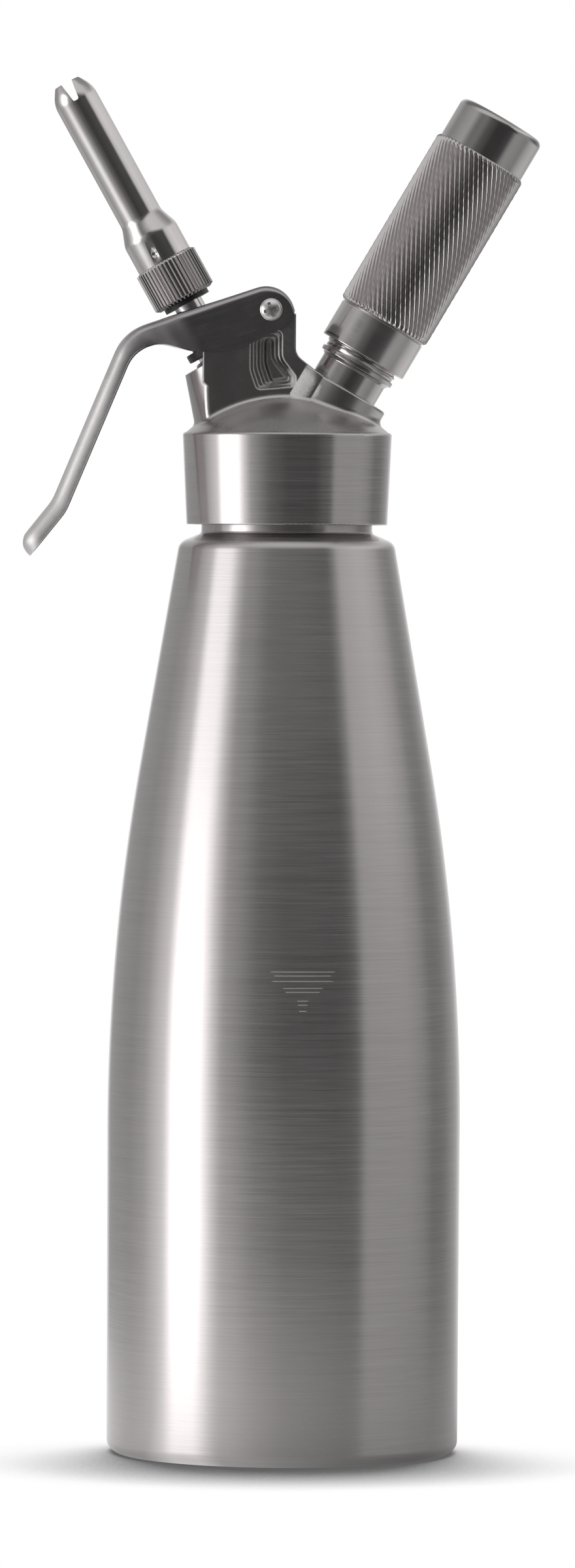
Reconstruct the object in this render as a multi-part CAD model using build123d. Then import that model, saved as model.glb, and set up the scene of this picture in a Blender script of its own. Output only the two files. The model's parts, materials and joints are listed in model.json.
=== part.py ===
from build123d import *
import os
from math import cos, radians, sin, sqrt, tan

os.makedirs("parts", exist_ok=True)

# Whipped cream dispenser, one litre: bottle, screwed head with lever valve, decorator nozzle,
# and gas charger in a screwed holder. Millimetres and degrees, +Z up, origin on the bottle's
# axis at the plane it stands on, +X towards the charger holder, nozzle and lever at -X.
# Threads are plain cylinders with the clearance of the fit.

# ---------------------------------------------------------------- driving dimensions
running_clearance = 0.06      # radial, between parts that turn or slide in each other
contact_gap = 0.05            # between faces that seat on each other in different bodies
press_gap = 0.02              # radial, around pieces fixed in the casting
cut_past = 1.0                # how far a cutting shape runs past the face it opens

# bottle, heights from the standing plane
bottle_radius = 49.7
bottle_foot_radius = 49.3
bottle_wall = 1.2
bottle_corner = 3.5           # rounding of the foot
bottle_bend_height = 142.1    # where the upright side and the taper would cross
bottle_bend_radius = 600.0
foot_ring_radius = 42.0       # inner edge of the ring it stands on
foot_dish = 2.5               # hollow under the base
shoulder_radius = 30.2
shoulder_height = 255.8
shoulder_rounding = 3.5
neck_radius = 24.0
neck_base_height = 258.4
neck_rounding = 1.2
mouth_radius = 22.3
thread_band_radius = 25.0
thread_band_lead = 1.8        # plain neck between the head's lower edge and the thread
thread_band_end = 3.0         # plain rim above the thread
thread_chamfer = 0.8

# head casting
skirt_gap = 2.4               # the skirt's lower edge above the neck's foot
skirt_height = 25.9
skirt_lower_radius = 28.2
skirt_upper_radius = 29.4
skirt_edge = 1.0
skirt_lower_edge = 0.4
dome_height = 10.8
rim_drop = 7.7                # bottle rim below the skirt's top
gasket_thickness = 2.6
gasket_inner_radius = 21.4
ceiling_drop = 2.7            # inner ceiling below the skirt's top
ceiling_radius = 20.6
hub_drop = 14.4               # crossing of both slanted axes, below the skirt's top
casting_half_width = 10.4
casting_fillet = 2.0          # hollow rounding where tower, web and boss rise from the dome
valve_tilt = 29.1             # valve axis from the vertical, towards -X
holder_tilt = 30.4            # charger axis from the vertical, towards +X

# valve tower and web, distances along the valve axis from the hub
tower_top = 40.4
tower_radius = 10.4
tower_draft = 18.0
tower_edge = 1.8              # rounding between the tower's side and its flat faces
cheek_height = 5.6            # cheeks beside the push ring, above the tower's face
cheek_start = 1.5             # their left edge, short of the valve axis
ring_well_radius = 8.0
ring_well_floor = 38.2
spring_well_radius = 7.0
spring_well_floor = 28.5
guide_floor = 22.6
relief_radius = 5.6
seat_level = 20.0
chamber_radius = 7.6

# lever post, from the pivot
pivot_across = 19.56          # pivot from the valve axis
pivot_level = 44.75           # pivot along the valve axis from the hub
pivot_boss_radius = 3.6
post_reach = 7.0              # the post's right face beyond the pivot
post_thickness = 3.9
post_drop = 1.1               # the post's top below the pivot
post_height = 11.4
post_foot_run = 5.2           # the slanted foot between the post and the port boss
post_foot_fall = 4.1
pocket_depth = 2.1            # one step of the stepped pocket, on each side
pocket_height = 16.6
pocket_width = 8.9
pocket_step = 1.9             # each step stays this far inside the last
pocket_corner = 3.0
pocket_draft = 22.0           # slope of the pocket's walls
pocket_ledge = 0.25           # left of each step's floor on the post's side

# charger port, distances along the charger axis from the hub
port_boss_radius = 13.5
port_boss_top = 31.2
port_boss_edge = 0.8
port_boss_hollow = 12.0       # hollow rounding between the boss and the web's flat faces
port_seat = 20.8
port_plug_radius = 8.5
port_plug_edge = 0.5
port_gasket_thickness = 1.2
port_gasket_inner = 3.6
port_stem_radius = 9.8
port_ring_start = 37.6
port_ring_thickness = 1.6
port_ring_radius = 11.2
port_thread_radius = 10.9
port_top = 50.0
port_top_edge = 0.8
charger_socket_radius = 4.9
charger_socket_depth = 4.5
port_seal_thickness = 1.5
gas_passage_radius = 1.6
pin_radius = 1.5
pin_bore = 0.5
pin_rise = 3.4                # pin's point above the socket's floor
pin_root = 5.5
pin_edge = 0.15               # wall left at the pin's point
check_valve_radius = 2.9
check_valve_pocket = 3.6
check_valve_depth = 3.2
check_valve_cone = 0.6

# gas charger
charger_radius = 8.95
charger_length = 65.5
charger_wall = 1.4
charger_neck_radius = 4.4
charger_neck_length = 7.0
charger_neck_edge = 0.6
charger_neck_rounding = 2.0
charger_shoulder = 7.0
charger_end_rounding = 0.9    # share of the radius

# charger holder
holder_start = 41.6
holder_thread_length = 11.2
collar_radius = 12.9
collar_length = 11.2
collar_edge = 0.4
grip_radius = 13.1
grip_length = 53.8
holder_clearance = 0.4        # around the charger
end_cap_length = 12.1
end_cap_rounding = 2.0
cap_spigot_length = 6.0
cap_spigot_radius = 11.2
pad_thickness = 1.4
pad_radius = 6.5
pad_gap = 0.3

# valve
stem_radius = 5.0
stem_bore = 2.2
stem_neck_radius = 4.2
stem_shoulder = 42.5          # the push ring sits here
stem_edge = 0.4
piston_radius = 6.4
piston_thickness = 3.0
piston_edge = 1.0
piston_seal_thickness = 2.75
cross_hole_radius = 1.1
cross_hole_level = 21.3
o_ring_level = 25.5
o_ring_section = 0.7          # half the height of its groove
o_ring_depth = 1.3
push_ring_radius = 7.6
push_flange = 2.3
push_edge = 0.4
push_hub_radius = 5.4
push_hub_height = 3.2
clip_radius = 5.2
clip_thickness = 0.9
clip_groove = 0.6
spring_wire = 1.1
spring_mean_radius = 5.95
spring_turns = 5
stop_ring_radius = 6.8
stop_ring_thickness = 1.2

# decorator nozzle
nozzle_collar_start = 59.0
nozzle_collar_radius = 8.7
nozzle_collar_length = 12.3
nozzle_collar_edge = 0.6
nozzle_thread_length = 7.0
nozzle_seal_thickness = 1.5
nozzle_seal_radius = 3.9
nozzle_seal_hole = 2.4
nozzle_passage = 3.0
nozzle_spigot_length = 6.0
nozzle_base_radius = 8.1
nozzle_base_length = 8.4
nozzle_cone_length = 5.0
nozzle_tube_radius = 6.2
nozzle_tube_length = 39.6
nozzle_tip_length = 4.1
nozzle_mouth_radius = 3.0
nozzle_wall = 0.9
notch_top_width = 3.6
notch_bottom_width = 1.5
notch_depth = 5.9

# lever, in its own frame: pivot at zero, u along the web to the handle, v outwards
lever_slope = 18.35
lever_rise = 7.1               # web's back above the pivot
strap_reach = 6.25             # strap's back beyond the pivot
strap_end = 2.2                # strap's end below the pivot
strap_rounding = 8.0
lever_web = 1.8
lever_side = 1.5
lever_side_clearance = 0.4
lever_web_length = 41.2
handle_turn = 48.95           # handle's bend from the web
handle_length = 51.2
handle_depth = 4.6
handle_bend_radius = 14.0
handle_inner_bend_radius = 10.0
handle_half_width = 9.6
tip_turn = 16.0               # the tip flares back out
tip_length = 16.2
tip_depth = 4.9
tip_half_width = 8.6
tip_rounding = 1.6
belly_depth = 8.6             # deepest corner of the cheeks below the pivot
belly_place = 17.2
belly_radius = 28.0
belly_slope = 32.0            # the cheeks' lower edge rises at this angle to the handle
heel_place = 3.1              # the cheeks' end behind the pivot
heel_depth = 5.6
heel_height = 6.0             # of the cheeks' upright end, up into the strap
lever_edge = 2.0              # rounding along the lever's back
tip_plan_rounding = 6.0
stem_slot_clearance = 0.9
stem_slot_run = 2.2           # extra length towards the pivot, for the lever's swing
pad_clearance = 0.4           # pad ribs, beside the push ring's hub
pad_thickness_across = 1.6
pad_root_width = 6.0
pad_nose = 1.5

# lever pivot
pivot_sleeve_radius = 2.5
pivot_screw_radius = 1.5
pivot_head_radius = 3.15
pivot_head_height = 1.4
driver_recess = 2.6           # span of the cross in the screw's head
driver_blade = 0.7
driver_depth = 0.9

# ---------------------------------------------------------------- derived places
skirt_bottom = neck_base_height + skirt_gap
skirt_top = skirt_bottom + skirt_height
rim_height = skirt_top - rim_drop
hub_height = skirt_top - hub_drop
ceiling_height = skirt_top - ceiling_drop
head_bore_radius = thread_band_radius + running_clearance
guide_radius = stem_radius + running_clearance

valve_frame = Plane(
    origin=(0, 0, hub_height),
    x_dir=(cos(radians(valve_tilt)), 0, sin(radians(valve_tilt))),
    z_dir=(-sin(radians(valve_tilt)), 0, cos(radians(valve_tilt))),
)
holder_frame = Plane(
    origin=(0, 0, hub_height),
    x_dir=(cos(radians(holder_tilt)), 0, -sin(radians(holder_tilt))),
    z_dir=(sin(radians(holder_tilt)), 0, cos(radians(holder_tilt))),
)
pivot = valve_frame.from_local_coords((pivot_across, 0, pivot_level))
pivot_frame = Plane(origin=pivot, x_dir=(1, 0, 0), z_dir=(0, -1, 0))
lever_frame = Plane(
    origin=pivot,
    x_dir=(-cos(radians(lever_slope)), 0, -sin(radians(lever_slope))),
    z_dir=(0, 1, 0),
)
lever_inner_half = casting_half_width + lever_side_clearance
lever_half_width = lever_inner_half + lever_side


# ---------------------------------------------------------------- shape helpers
def rounded_path(corners, closed):
    """Straight runs through 2-D corners. A corner's third number is its rounding."""
    edges = []
    last = len(corners) - 1
    ends = []
    for index, corner in enumerate(corners):
        here = Vector(*corner[:2])
        rounding = corner[2] if len(corner) > 2 else 0
        if not rounding or (not closed and index in (0, last)):
            ends.append((here, here))
            continue
        neighbours = corners[index - 1], corners[(index + 1) % len(corners)]
        before, after = (Vector(*corner[:2]) - here for corner in neighbours)
        room = [
            (Vector(*corner[:2]) - here).length * (0.49 if len(corner) > 2 else 0.98)
            for corner in neighbours
        ]
        half = radians(before.get_angle(after)) / 2
        reach = min(rounding / tan(half), *room)
        radius = reach * tan(half)
        arrive = here + before.normalized() * reach
        leave = here + after.normalized() * reach
        inward = (before.normalized() + after.normalized()).normalized()
        edges.append(ThreePointArc(arrive, here + inward * (radius / sin(half) - radius), leave))
        ends.append((arrive, leave))
    for index in range(0 if closed else 1, len(corners)):
        start, end = ends[index - 1][1], ends[index][0]
        if (end - start).length > 0.001:
            edges.append(Line(start, end))
    return edges


def outline(*corners):
    """Closed face through rounded 2-D corners."""
    return make_face(rounded_path(corners, closed=True))


def inset(corners, distance):
    """The corners of an open outline moved to its left by a distance, roundings included."""
    moved = []
    for index, corner in enumerate(corners):
        here = Vector(corner[0], corner[1])
        ways = []
        if index > 0:
            ways.append((here - Vector(*corners[index - 1][:2])).normalized())
        if index < len(corners) - 1:
            ways.append((Vector(*corners[index + 1][:2]) - here).normalized())
        sides = [Vector(-way.Y, way.X) for way in ways]
        shift = sides[0] * distance
        turn = 0
        if len(sides) == 2:
            shift = (sides[0] + sides[1]) * (distance / (1 + sides[0].dot(sides[1])))
            turn = ways[0].X * ways[1].Y - ways[0].Y * ways[1].X
        place = here + shift
        rounding = corner[2] if len(corner) > 2 else 0
        if rounding:
            rounding = max(rounding + (-distance if turn > 0 else distance), 0.1)
        moved.append((place.X, place.Y, rounding))
    return moved


def turned(frame, *corners):
    """Solid of revolution of a half outline of (radius, height) corners about a frame's z."""
    return frame.location * revolve(Plane.XZ * outline(*corners), Axis.Z)


def ring(frame, outer, inner, low, high):
    """A plain ring of square section about a frame's z."""
    return turned(frame, (inner, low), (outer, low), (outer, high), (inner, high))


def rod(frame, radius, low, high):
    """A plain cylinder along a frame's z."""
    return turned(frame, (0, low), (radius, low), (radius, high), (0, high))


def slab(frame, face, half_width):
    """A face in a frame's xy plane, extruded the same way to both sides."""
    return frame.location * extrude(face, half_width, both=True)


def softened(solid, chosen, radius):
    """A solid with some edges rounded, by less where the full rounding finds no room."""
    for share in (1, 0.75, 0.5, 0.25):
        try:
            rounded = fillet([edge for edge in solid.edges() if chosen(edge)], radius * share)
        except ValueError:
            continue
        if rounded.is_valid:
            return rounded
    return solid


parts = {}

# ---------------------------------------------------------------- bottle
bottle_side = [
    (foot_ring_radius, 0, foot_dish / 2),
    (bottle_foot_radius, 0, bottle_corner),
    (bottle_radius, bottle_bend_height, bottle_bend_radius),
    (shoulder_radius, shoulder_height, shoulder_rounding),
    (neck_radius, neck_base_height, neck_rounding),
    (neck_radius, skirt_bottom + thread_band_lead),
]
bottle_inside = inset(bottle_side[1:5], bottle_wall)
bottle_inside[0] = (bottle_inside[0][0], foot_dish + bottle_wall, bottle_corner)
bottle_inside[-1] = (mouth_radius, neck_base_height - bottle_wall, neck_rounding + bottle_wall)
thread_top = rim_height - thread_band_end
parts["bottle"] = turned(
    Plane.XY,
    (0, foot_dish),
    (foot_ring_radius - foot_dish, foot_dish, foot_dish / 2),
    *bottle_side,
    (thread_band_radius, skirt_bottom + thread_band_lead + thread_chamfer),
    (thread_band_radius, thread_top - thread_chamfer),
    (neck_radius, thread_top),
    (neck_radius, rim_height, bottle_wall / 2),
    (mouth_radius, rim_height, bottle_wall / 2),
    *reversed(bottle_inside),
    (0, foot_dish + bottle_wall),
)

# ---------------------------------------------------------------- head casting
gasket_low = rim_height + contact_gap
gasket_high = gasket_low + gasket_thickness
gasket_seat = gasket_high + contact_gap
dome_edge_radius = skirt_upper_radius - skirt_edge
dome_radius = (dome_edge_radius**2 + dome_height**2) / (2 * dome_height)
skirt = turned(
    Plane.XY,
    (0, skirt_bottom),
    (skirt_lower_radius, skirt_bottom, skirt_lower_edge),
    (skirt_upper_radius, skirt_top, skirt_edge),
    (0, skirt_top),
)
dome = Pos(0, 0, skirt_top + dome_height - dome_radius) * Sphere(dome_radius)
dome &= rod(Plane.XY, dome_edge_radius, skirt_top - skirt_edge, skirt_top + dome_height)

tower_root_radius = tower_radius + tan(radians(tower_draft)) * tower_top
tower = turned(valve_frame, (0, 0), (tower_root_radius, 0), (tower_radius, tower_top), (0, tower_top))
tower &= slab(Plane.XZ, Pos(0, hub_height) * Rectangle(4 * tower_top, 4 * tower_top), casting_half_width)


def across(x, z):
    """A point given across and along the valve axis, in the upright plane of both axes."""
    place = valve_frame.from_local_coords((x, 0, z))
    return place.X, place.Z


post_right = pivot.X + post_reach
post_left = post_right - post_thickness
post_top = pivot.Z - post_drop
post_bottom = post_top - post_height
foot_x = post_right + post_foot_run
foot_z = post_bottom - post_foot_fall
web_root = skirt_top + dome_height / 2
cheek_x, cheek_z = across(-cheek_start, tower_top + cheek_height)
boss_x, boss_z = across(pivot_across - pivot_boss_radius, tower_top + cheek_height + cheek_start)
web = slab(
    Plane.XZ,
    outline(
        (cheek_x, cheek_z),
        (boss_x, boss_z),
        (pivot.X, pivot.Z),
        (pivot.X, post_top),
        (post_right, post_top),
        (post_right, post_bottom, post_thickness),
        (foot_x, foot_z),
        (foot_x, web_root),
        (cheek_x + tower_radius, web_root),
        (cheek_x, cheek_z - 2 * cheek_height),
    ),
    casting_half_width,
)
web += slab(pivot_frame, Circle(pivot_boss_radius), casting_half_width)
port_boss = turned(
    holder_frame,
    (0, 0),
    (port_boss_radius, 0),
    (port_boss_radius, port_boss_top, port_boss_edge),
    (0, port_boss_top),
)

# the hollow between web and boss: an arc of its own radius that touches the flat face and the
# boss, carried along the boss, up to the line of the post's foot
arc_y = casting_half_width + port_boss_hollow
arc_reach = port_boss_radius + port_boss_hollow
arc_x = -sqrt(arc_reach**2 - arc_y**2)
touch = port_boss_radius / arc_reach
foot_slope = post_foot_fall / post_foot_run
below_foot = slab(
    Plane.XZ,
    outline(
        (post_right, post_bottom),
        (foot_x + port_boss_radius, foot_z - foot_slope * port_boss_radius),
        (foot_x + port_boss_radius, hub_height),
        (post_right - port_boss_radius, hub_height),
        (post_right - port_boss_radius, post_bottom),
    ),
    arc_reach,
)
hollows = []
for side in (-1, 1):
    corner = make_face(
        [
            Line((arc_x, 0), (arc_x, side * casting_half_width)),
            RadiusArc(
                (arc_x, side * casting_half_width),
                (arc_x * touch, side * arc_y * touch),
                side * port_boss_hollow,
            ),
            Line((arc_x * touch, side * arc_y * touch), (arc_x * touch, 0)),
            Line((arc_x * touch, 0), (arc_x, 0)),
        ]
    )
    hollows.append(holder_frame.location * extrude(corner, port_boss_top) & below_foot)


def on_tower_edge(edge):
    """Where the tower's drafted side runs into a flat face."""
    return edge.geom_type == GeomType.HYPERBOLA


def on_dome(edge):
    """Where something rises from the dome."""
    centre = Vector(0, 0, skirt_top + dome_height - dome_radius)
    places = [edge.position_at(share) for share in (0.1, 0.5, 0.9)]
    reaches = [abs((place - centre).length - dome_radius) for place in places]
    return max(reaches) < contact_gap and min(place.Z for place in places) > skirt_top + contact_gap


head = skirt + dome + tower + web + port_boss + hollows[0] + hollows[1]
head = softened(head, on_tower_edge, tower_edge)
head = softened(head, on_dome, casting_fillet)

pocket_top = post_top - pivot_boss_radius - post_drop
pocket_bottom = pocket_top - pocket_height
draft_run = pocket_depth * tan(radians(pocket_draft))
for step in range(3):
    inward = step * pocket_step
    left = post_left - pocket_width + inward
    low = pocket_bottom + inward / 2
    right = post_left - step * (draft_run + pocket_ledge)
    foot_right = post_right - step * (draft_run + pocket_ledge)
    mouth = [
        (right, pocket_top - inward / 2, pocket_corner / 2),
        (left, pocket_top - inward / 2, pocket_width / 2),
        (left, low + pocket_height / 3, 2 * pocket_corner),
        (left + pocket_step, low, pocket_corner / 2),
        (foot_right, low + pocket_step / 2, pocket_corner / 2),
        (foot_right, foot_z - pocket_step, pocket_corner / 2),
        (right, post_bottom - pocket_step / 2, post_thickness),
    ]
    base = inset([mouth[-1], *mouth, mouth[0]], draft_run)[1:-1]
    level = casting_half_width - step * pocket_depth
    for side in (-1, 1):
        opening = Plane.XZ.offset(side * level) * outline(*mouth)
        floor = Plane.XZ.offset(side * (level - pocket_depth)) * outline(*base)
        head -= loft([opening, floor], ruled=True)

head -= turned(
    Plane.XY,
    (0, skirt_bottom - cut_past),
    (head_bore_radius, skirt_bottom - cut_past),
    (head_bore_radius, gasket_seat),
    (ceiling_radius, gasket_seat),
    (ceiling_radius, ceiling_height),
    (0, ceiling_height),
)
below_ceiling = (ceiling_height - hub_height) / 2
head -= turned(
    valve_frame,
    (0, below_ceiling),
    (chamber_radius, below_ceiling),
    (chamber_radius, seat_level),
    (relief_radius, seat_level),
    (relief_radius, guide_floor),
    (guide_radius, guide_floor),
    (guide_radius, spring_well_floor),
    (spring_well_radius, spring_well_floor),
    (spring_well_radius, ring_well_floor),
    (ring_well_radius, ring_well_floor),
    (ring_well_radius, pivot_level + pivot_boss_radius),
    (0, pivot_level + pivot_boss_radius),
)
head -= turned(
    holder_frame,
    (0, below_ceiling),
    (gas_passage_radius, below_ceiling),
    (gas_passage_radius, port_seat),
    (port_plug_radius + press_gap, port_seat),
    (port_plug_radius + press_gap, port_boss_top + cut_past),
    (0, port_boss_top + cut_past),
)
head -= rod(holder_frame, port_stem_radius + press_gap, port_boss_top, port_top)
head -= slab(pivot_frame, Circle(pivot_sleeve_radius + press_gap), 2 * casting_half_width)
parts["head"] = head

parts["head_gasket"] = ring(
    Plane.XY, thread_band_radius - contact_gap, gasket_inner_radius, gasket_low, gasket_high
)

# ---------------------------------------------------------------- lever pivot
sleeve_end = lever_half_width + contact_gap
back_frame = Plane(origin=pivot, x_dir=(1, 0, 0), z_dir=(0, 1, 0))
front_frame = pivot_frame
parts["pivot_sleeve"] = turned(
    back_frame,
    (pivot_screw_radius, -sleeve_end),
    (pivot_sleeve_radius, -sleeve_end),
    (pivot_sleeve_radius, sleeve_end),
    (pivot_head_radius, sleeve_end),
    (pivot_head_radius, sleeve_end + pivot_head_height, pivot_head_height / 2),
    (0, sleeve_end + pivot_head_height),
    (0, sleeve_end),
    (pivot_screw_radius, sleeve_end),
)
screw = turned(
    front_frame,
    (0, -casting_half_width),
    (pivot_screw_radius - press_gap, -casting_half_width),
    (pivot_screw_radius - press_gap, sleeve_end),
    (pivot_head_radius, sleeve_end),
    (pivot_head_radius, sleeve_end + pivot_head_height, pivot_head_height / 2),
    (0, sleeve_end + pivot_head_height),
)
cross = Rectangle(driver_recess, driver_blade) + Rectangle(driver_blade, driver_recess)
screw -= front_frame.offset(sleeve_end + pivot_head_height - driver_depth).location * extrude(
    cross, pivot_head_height
)
parts["pivot_screw"] = screw

# ---------------------------------------------------------------- valve, along the valve axis
seal_low = seat_level - contact_gap - piston_seal_thickness
stem_top = nozzle_collar_start + nozzle_thread_length
clip_low = stem_shoulder + push_flange + push_hub_height
stem = turned(
    valve_frame,
    (0, seal_low - piston_thickness),
    (piston_radius - piston_edge, seal_low - piston_thickness, piston_edge),
    (piston_radius, seal_low - piston_thickness + piston_edge),
    (piston_radius, seal_low),
    (stem_radius, seal_low),
    (stem_radius, o_ring_level - o_ring_section),
    (stem_radius - o_ring_depth, o_ring_level - o_ring_section),
    (stem_radius - o_ring_depth, o_ring_level + o_ring_section),
    (stem_radius, o_ring_level + o_ring_section),
    (stem_radius, stem_shoulder),
    (stem_neck_radius, stem_shoulder),
    (stem_neck_radius, clip_low),
    (stem_neck_radius - clip_groove, clip_low),
    (stem_neck_radius - clip_groove, clip_low + clip_thickness),
    (stem_neck_radius, clip_low + clip_thickness),
    (stem_neck_radius, stem_top, stem_edge),
    (stem_bore, stem_top),
    (stem_bore, seal_low + piston_thickness / 2),
    (0, seal_low + piston_thickness / 2),
)
cross_frame = valve_frame.offset(cross_hole_level)
for turn in (0, 90):
    stem -= cross_frame.location * Rot(0, 90, turn) * Cylinder(cross_hole_radius, 3 * stem_radius)
parts["valve_stem"] = stem
parts["piston_seal"] = ring(
    valve_frame, piston_radius, stem_radius, seal_low, seal_low + piston_seal_thickness
)
o_ring_thickness = (o_ring_depth + press_gap) / 2
parts["stem_o_ring"] = valve_frame.offset(o_ring_level).location * Torus(
    stem_radius - o_ring_depth + o_ring_thickness, o_ring_thickness
)
push_low = stem_shoulder
push_high = push_low + push_flange
parts["push_ring"] = turned(
    valve_frame,
    (stem_neck_radius, push_low),
    (push_ring_radius, push_low, push_edge),
    (push_ring_radius, push_high, push_edge),
    (push_hub_radius, push_high),
    (push_hub_radius, clip_low),
    (stem_neck_radius, clip_low),
)
clip = ring(valve_frame, clip_radius, stem_neck_radius - clip_groove, clip_low, clip_low + clip_thickness)
clip_mouth = valve_frame.offset(clip_low).location * extrude(
    Pos(clip_radius, 0) * Rectangle(2 * clip_radius, stem_neck_radius), clip_thickness
)
parts["retaining_clip"] = clip - clip_mouth
parts["stop_ring"] = ring(
    valve_frame,
    stop_ring_radius,
    stem_neck_radius,
    nozzle_collar_start - stop_ring_thickness,
    nozzle_collar_start,
)

spring_low = spring_well_floor + contact_gap + spring_wire / 2
spring_high = stem_shoulder - contact_gap - spring_wire / 2
spring_pitch = (spring_high - spring_low) / spring_turns
coil_path = Helix(spring_pitch, spring_high - spring_low, spring_mean_radius)
coil_start = Plane(origin=coil_path @ 0, z_dir=coil_path % 0)
coil = sweep(coil_start * Circle(spring_wire / 2), coil_path, is_frenet=True)
parts["valve_spring"] = valve_frame.offset(spring_low).location * coil

# ---------------------------------------------------------------- decorator nozzle
collar_low = nozzle_collar_start + contact_gap
collar_high = nozzle_collar_start + nozzle_collar_length
thread_end = stem_top + contact_gap
seal_high = thread_end + nozzle_seal_thickness
collar_bore = stem_neck_radius + running_clearance
spigot_radius = nozzle_base_radius - nozzle_wall
parts["nozzle_seal"] = ring(
    valve_frame, nozzle_seal_radius, nozzle_seal_hole, thread_end, seal_high
)
parts["nozzle_collar"] = turned(
    valve_frame,
    (collar_bore, collar_low),
    (nozzle_collar_radius, collar_low, nozzle_collar_edge),
    (nozzle_collar_radius, collar_high, nozzle_collar_edge),
    (spigot_radius, collar_high),
    (spigot_radius, collar_high + nozzle_spigot_length),
    (nozzle_passage, collar_high + nozzle_spigot_length),
    (nozzle_passage, seal_high + contact_gap),
    (collar_bore, seal_high + contact_gap),
)
cone_low = collar_high + nozzle_base_length
tube_low = cone_low + nozzle_cone_length
tube_high = tube_low + nozzle_tube_length
tip_top = tube_high + nozzle_tip_length
nozzle_side = [
    (nozzle_base_radius, collar_high),
    (nozzle_base_radius, cone_low, nozzle_cone_length),
    (nozzle_tube_radius, tube_low, nozzle_cone_length),
    (nozzle_tube_radius, tube_high, 2 * nozzle_tip_length),
    (nozzle_mouth_radius + nozzle_wall, tip_top, nozzle_wall / 2),
]
nozzle = turned(valve_frame, *nozzle_side, *reversed(inset(nozzle_side, nozzle_wall)))
notch = outline(
    (-notch_bottom_width / 2, tip_top - notch_depth, notch_bottom_width / 3),
    (notch_bottom_width / 2, tip_top - notch_depth, notch_bottom_width / 3),
    (notch_top_width / 2, tip_top + cut_past),
    (-notch_top_width / 2, tip_top + cut_past),
)
for turn in (0, 90):
    nozzle -= valve_frame.location * Rot(0, 0, turn) * extrude(
        Plane.XZ * notch, 2 * nozzle_tube_radius, both=True
    )
parts["decorator_nozzle"] = nozzle

# ---------------------------------------------------------------- charger port, along its axis
plug_low = port_seat + port_gasket_thickness
socket_floor = port_top - charger_socket_depth
pin_low = socket_floor - pin_root
valve_pocket_top = plug_low + check_valve_depth
parts["charger_port"] = turned(
    holder_frame,
    (check_valve_pocket, plug_low),
    (port_plug_radius, plug_low, port_plug_edge),
    (port_plug_radius, port_boss_top),
    (port_stem_radius, port_boss_top),
    (port_stem_radius, port_ring_start),
    (port_ring_radius, port_ring_start),
    (port_ring_radius, port_ring_start + port_ring_thickness),
    (port_thread_radius, port_ring_start + port_ring_thickness),
    (port_thread_radius, port_top, port_top_edge),
    (charger_socket_radius, port_top),
    (charger_socket_radius, socket_floor),
    (pin_radius, socket_floor),
    (pin_radius, pin_low),
    (gas_passage_radius / 2, pin_low),
    (gas_passage_radius / 2, valve_pocket_top),
    (check_valve_pocket, valve_pocket_top),
)
parts["port_gasket"] = ring(
    holder_frame, port_plug_radius, port_gasket_inner, port_seat, plug_low
)
parts["check_valve"] = turned(
    holder_frame,
    (0, plug_low + check_valve_depth / 2),
    (check_valve_radius, plug_low + check_valve_depth / 2 + check_valve_cone),
    (check_valve_radius, valve_pocket_top),
    (0, valve_pocket_top),
)
parts["piercing_pin"] = turned(
    holder_frame,
    (pin_bore, pin_low),
    (pin_radius, pin_low),
    (pin_radius, socket_floor + port_seal_thickness),
    (pin_bore + pin_edge, socket_floor + pin_rise),
    (pin_bore, socket_floor + pin_rise),
)
seal_top = socket_floor + port_seal_thickness
parts["port_seal"] = ring(
    holder_frame, charger_socket_radius - press_gap, pin_radius + press_gap, socket_floor, seal_top
)

# ---------------------------------------------------------------- gas charger
charger_low = seal_top + contact_gap
charger_high = charger_low + charger_length
shoulder_low = charger_low + charger_neck_length
charger_side = [
    (charger_neck_radius, charger_low, charger_neck_edge),
    (charger_neck_radius, shoulder_low, charger_neck_rounding),
    (charger_radius, shoulder_low + charger_shoulder, charger_shoulder),
    (charger_radius, charger_high, charger_radius * charger_end_rounding),
]
pierced_radius = pin_radius + 2 * contact_gap
charger_bore = charger_radius - charger_wall
parts["charger"] = turned(
    holder_frame,
    (pierced_radius, charger_low),
    *charger_side,
    (0, charger_high),
    (0, charger_high - charger_wall),
    (charger_bore, charger_high - charger_wall, charger_bore * charger_end_rounding),
    (charger_bore, shoulder_low + charger_shoulder, charger_shoulder),
    (charger_neck_radius - charger_wall, shoulder_low, charger_neck_rounding),
    (charger_neck_radius - charger_wall, charger_low + charger_wall),
    (pierced_radius, charger_low + charger_wall),
)

# ---------------------------------------------------------------- charger holder
holder_bore = charger_radius + holder_clearance
thread_bore = port_thread_radius + running_clearance
grip_start = holder_start + collar_length
grip_end = grip_start + grip_length
cap_top = grip_end + end_cap_length
pad_low = charger_high + pad_gap
pad_high = pad_low + pad_thickness
parts["charger_holder"] = turned(
    holder_frame,
    (thread_bore, holder_start),
    (collar_radius, holder_start, collar_edge),
    (collar_radius, grip_start),
    (grip_radius, grip_start),
    (grip_radius, grip_end),
    (cap_spigot_radius, grip_end),
    (cap_spigot_radius, grip_end - cap_spigot_length),
    (holder_bore, grip_end - cap_spigot_length),
    (holder_bore, holder_start + holder_thread_length),
    (thread_bore, holder_start + holder_thread_length),
)
parts["holder_cap"] = turned(
    holder_frame,
    (holder_bore, grip_end - cap_spigot_length),
    (cap_spigot_radius, grip_end - cap_spigot_length),
    (cap_spigot_radius, grip_end),
    (collar_radius, grip_end),
    (collar_radius, cap_top, end_cap_rounding),
    (0, cap_top),
    (0, pad_high),
    (holder_bore, pad_high),
)
parts["holder_pad"] = rod(holder_frame, pad_radius, pad_low, pad_high)

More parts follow.
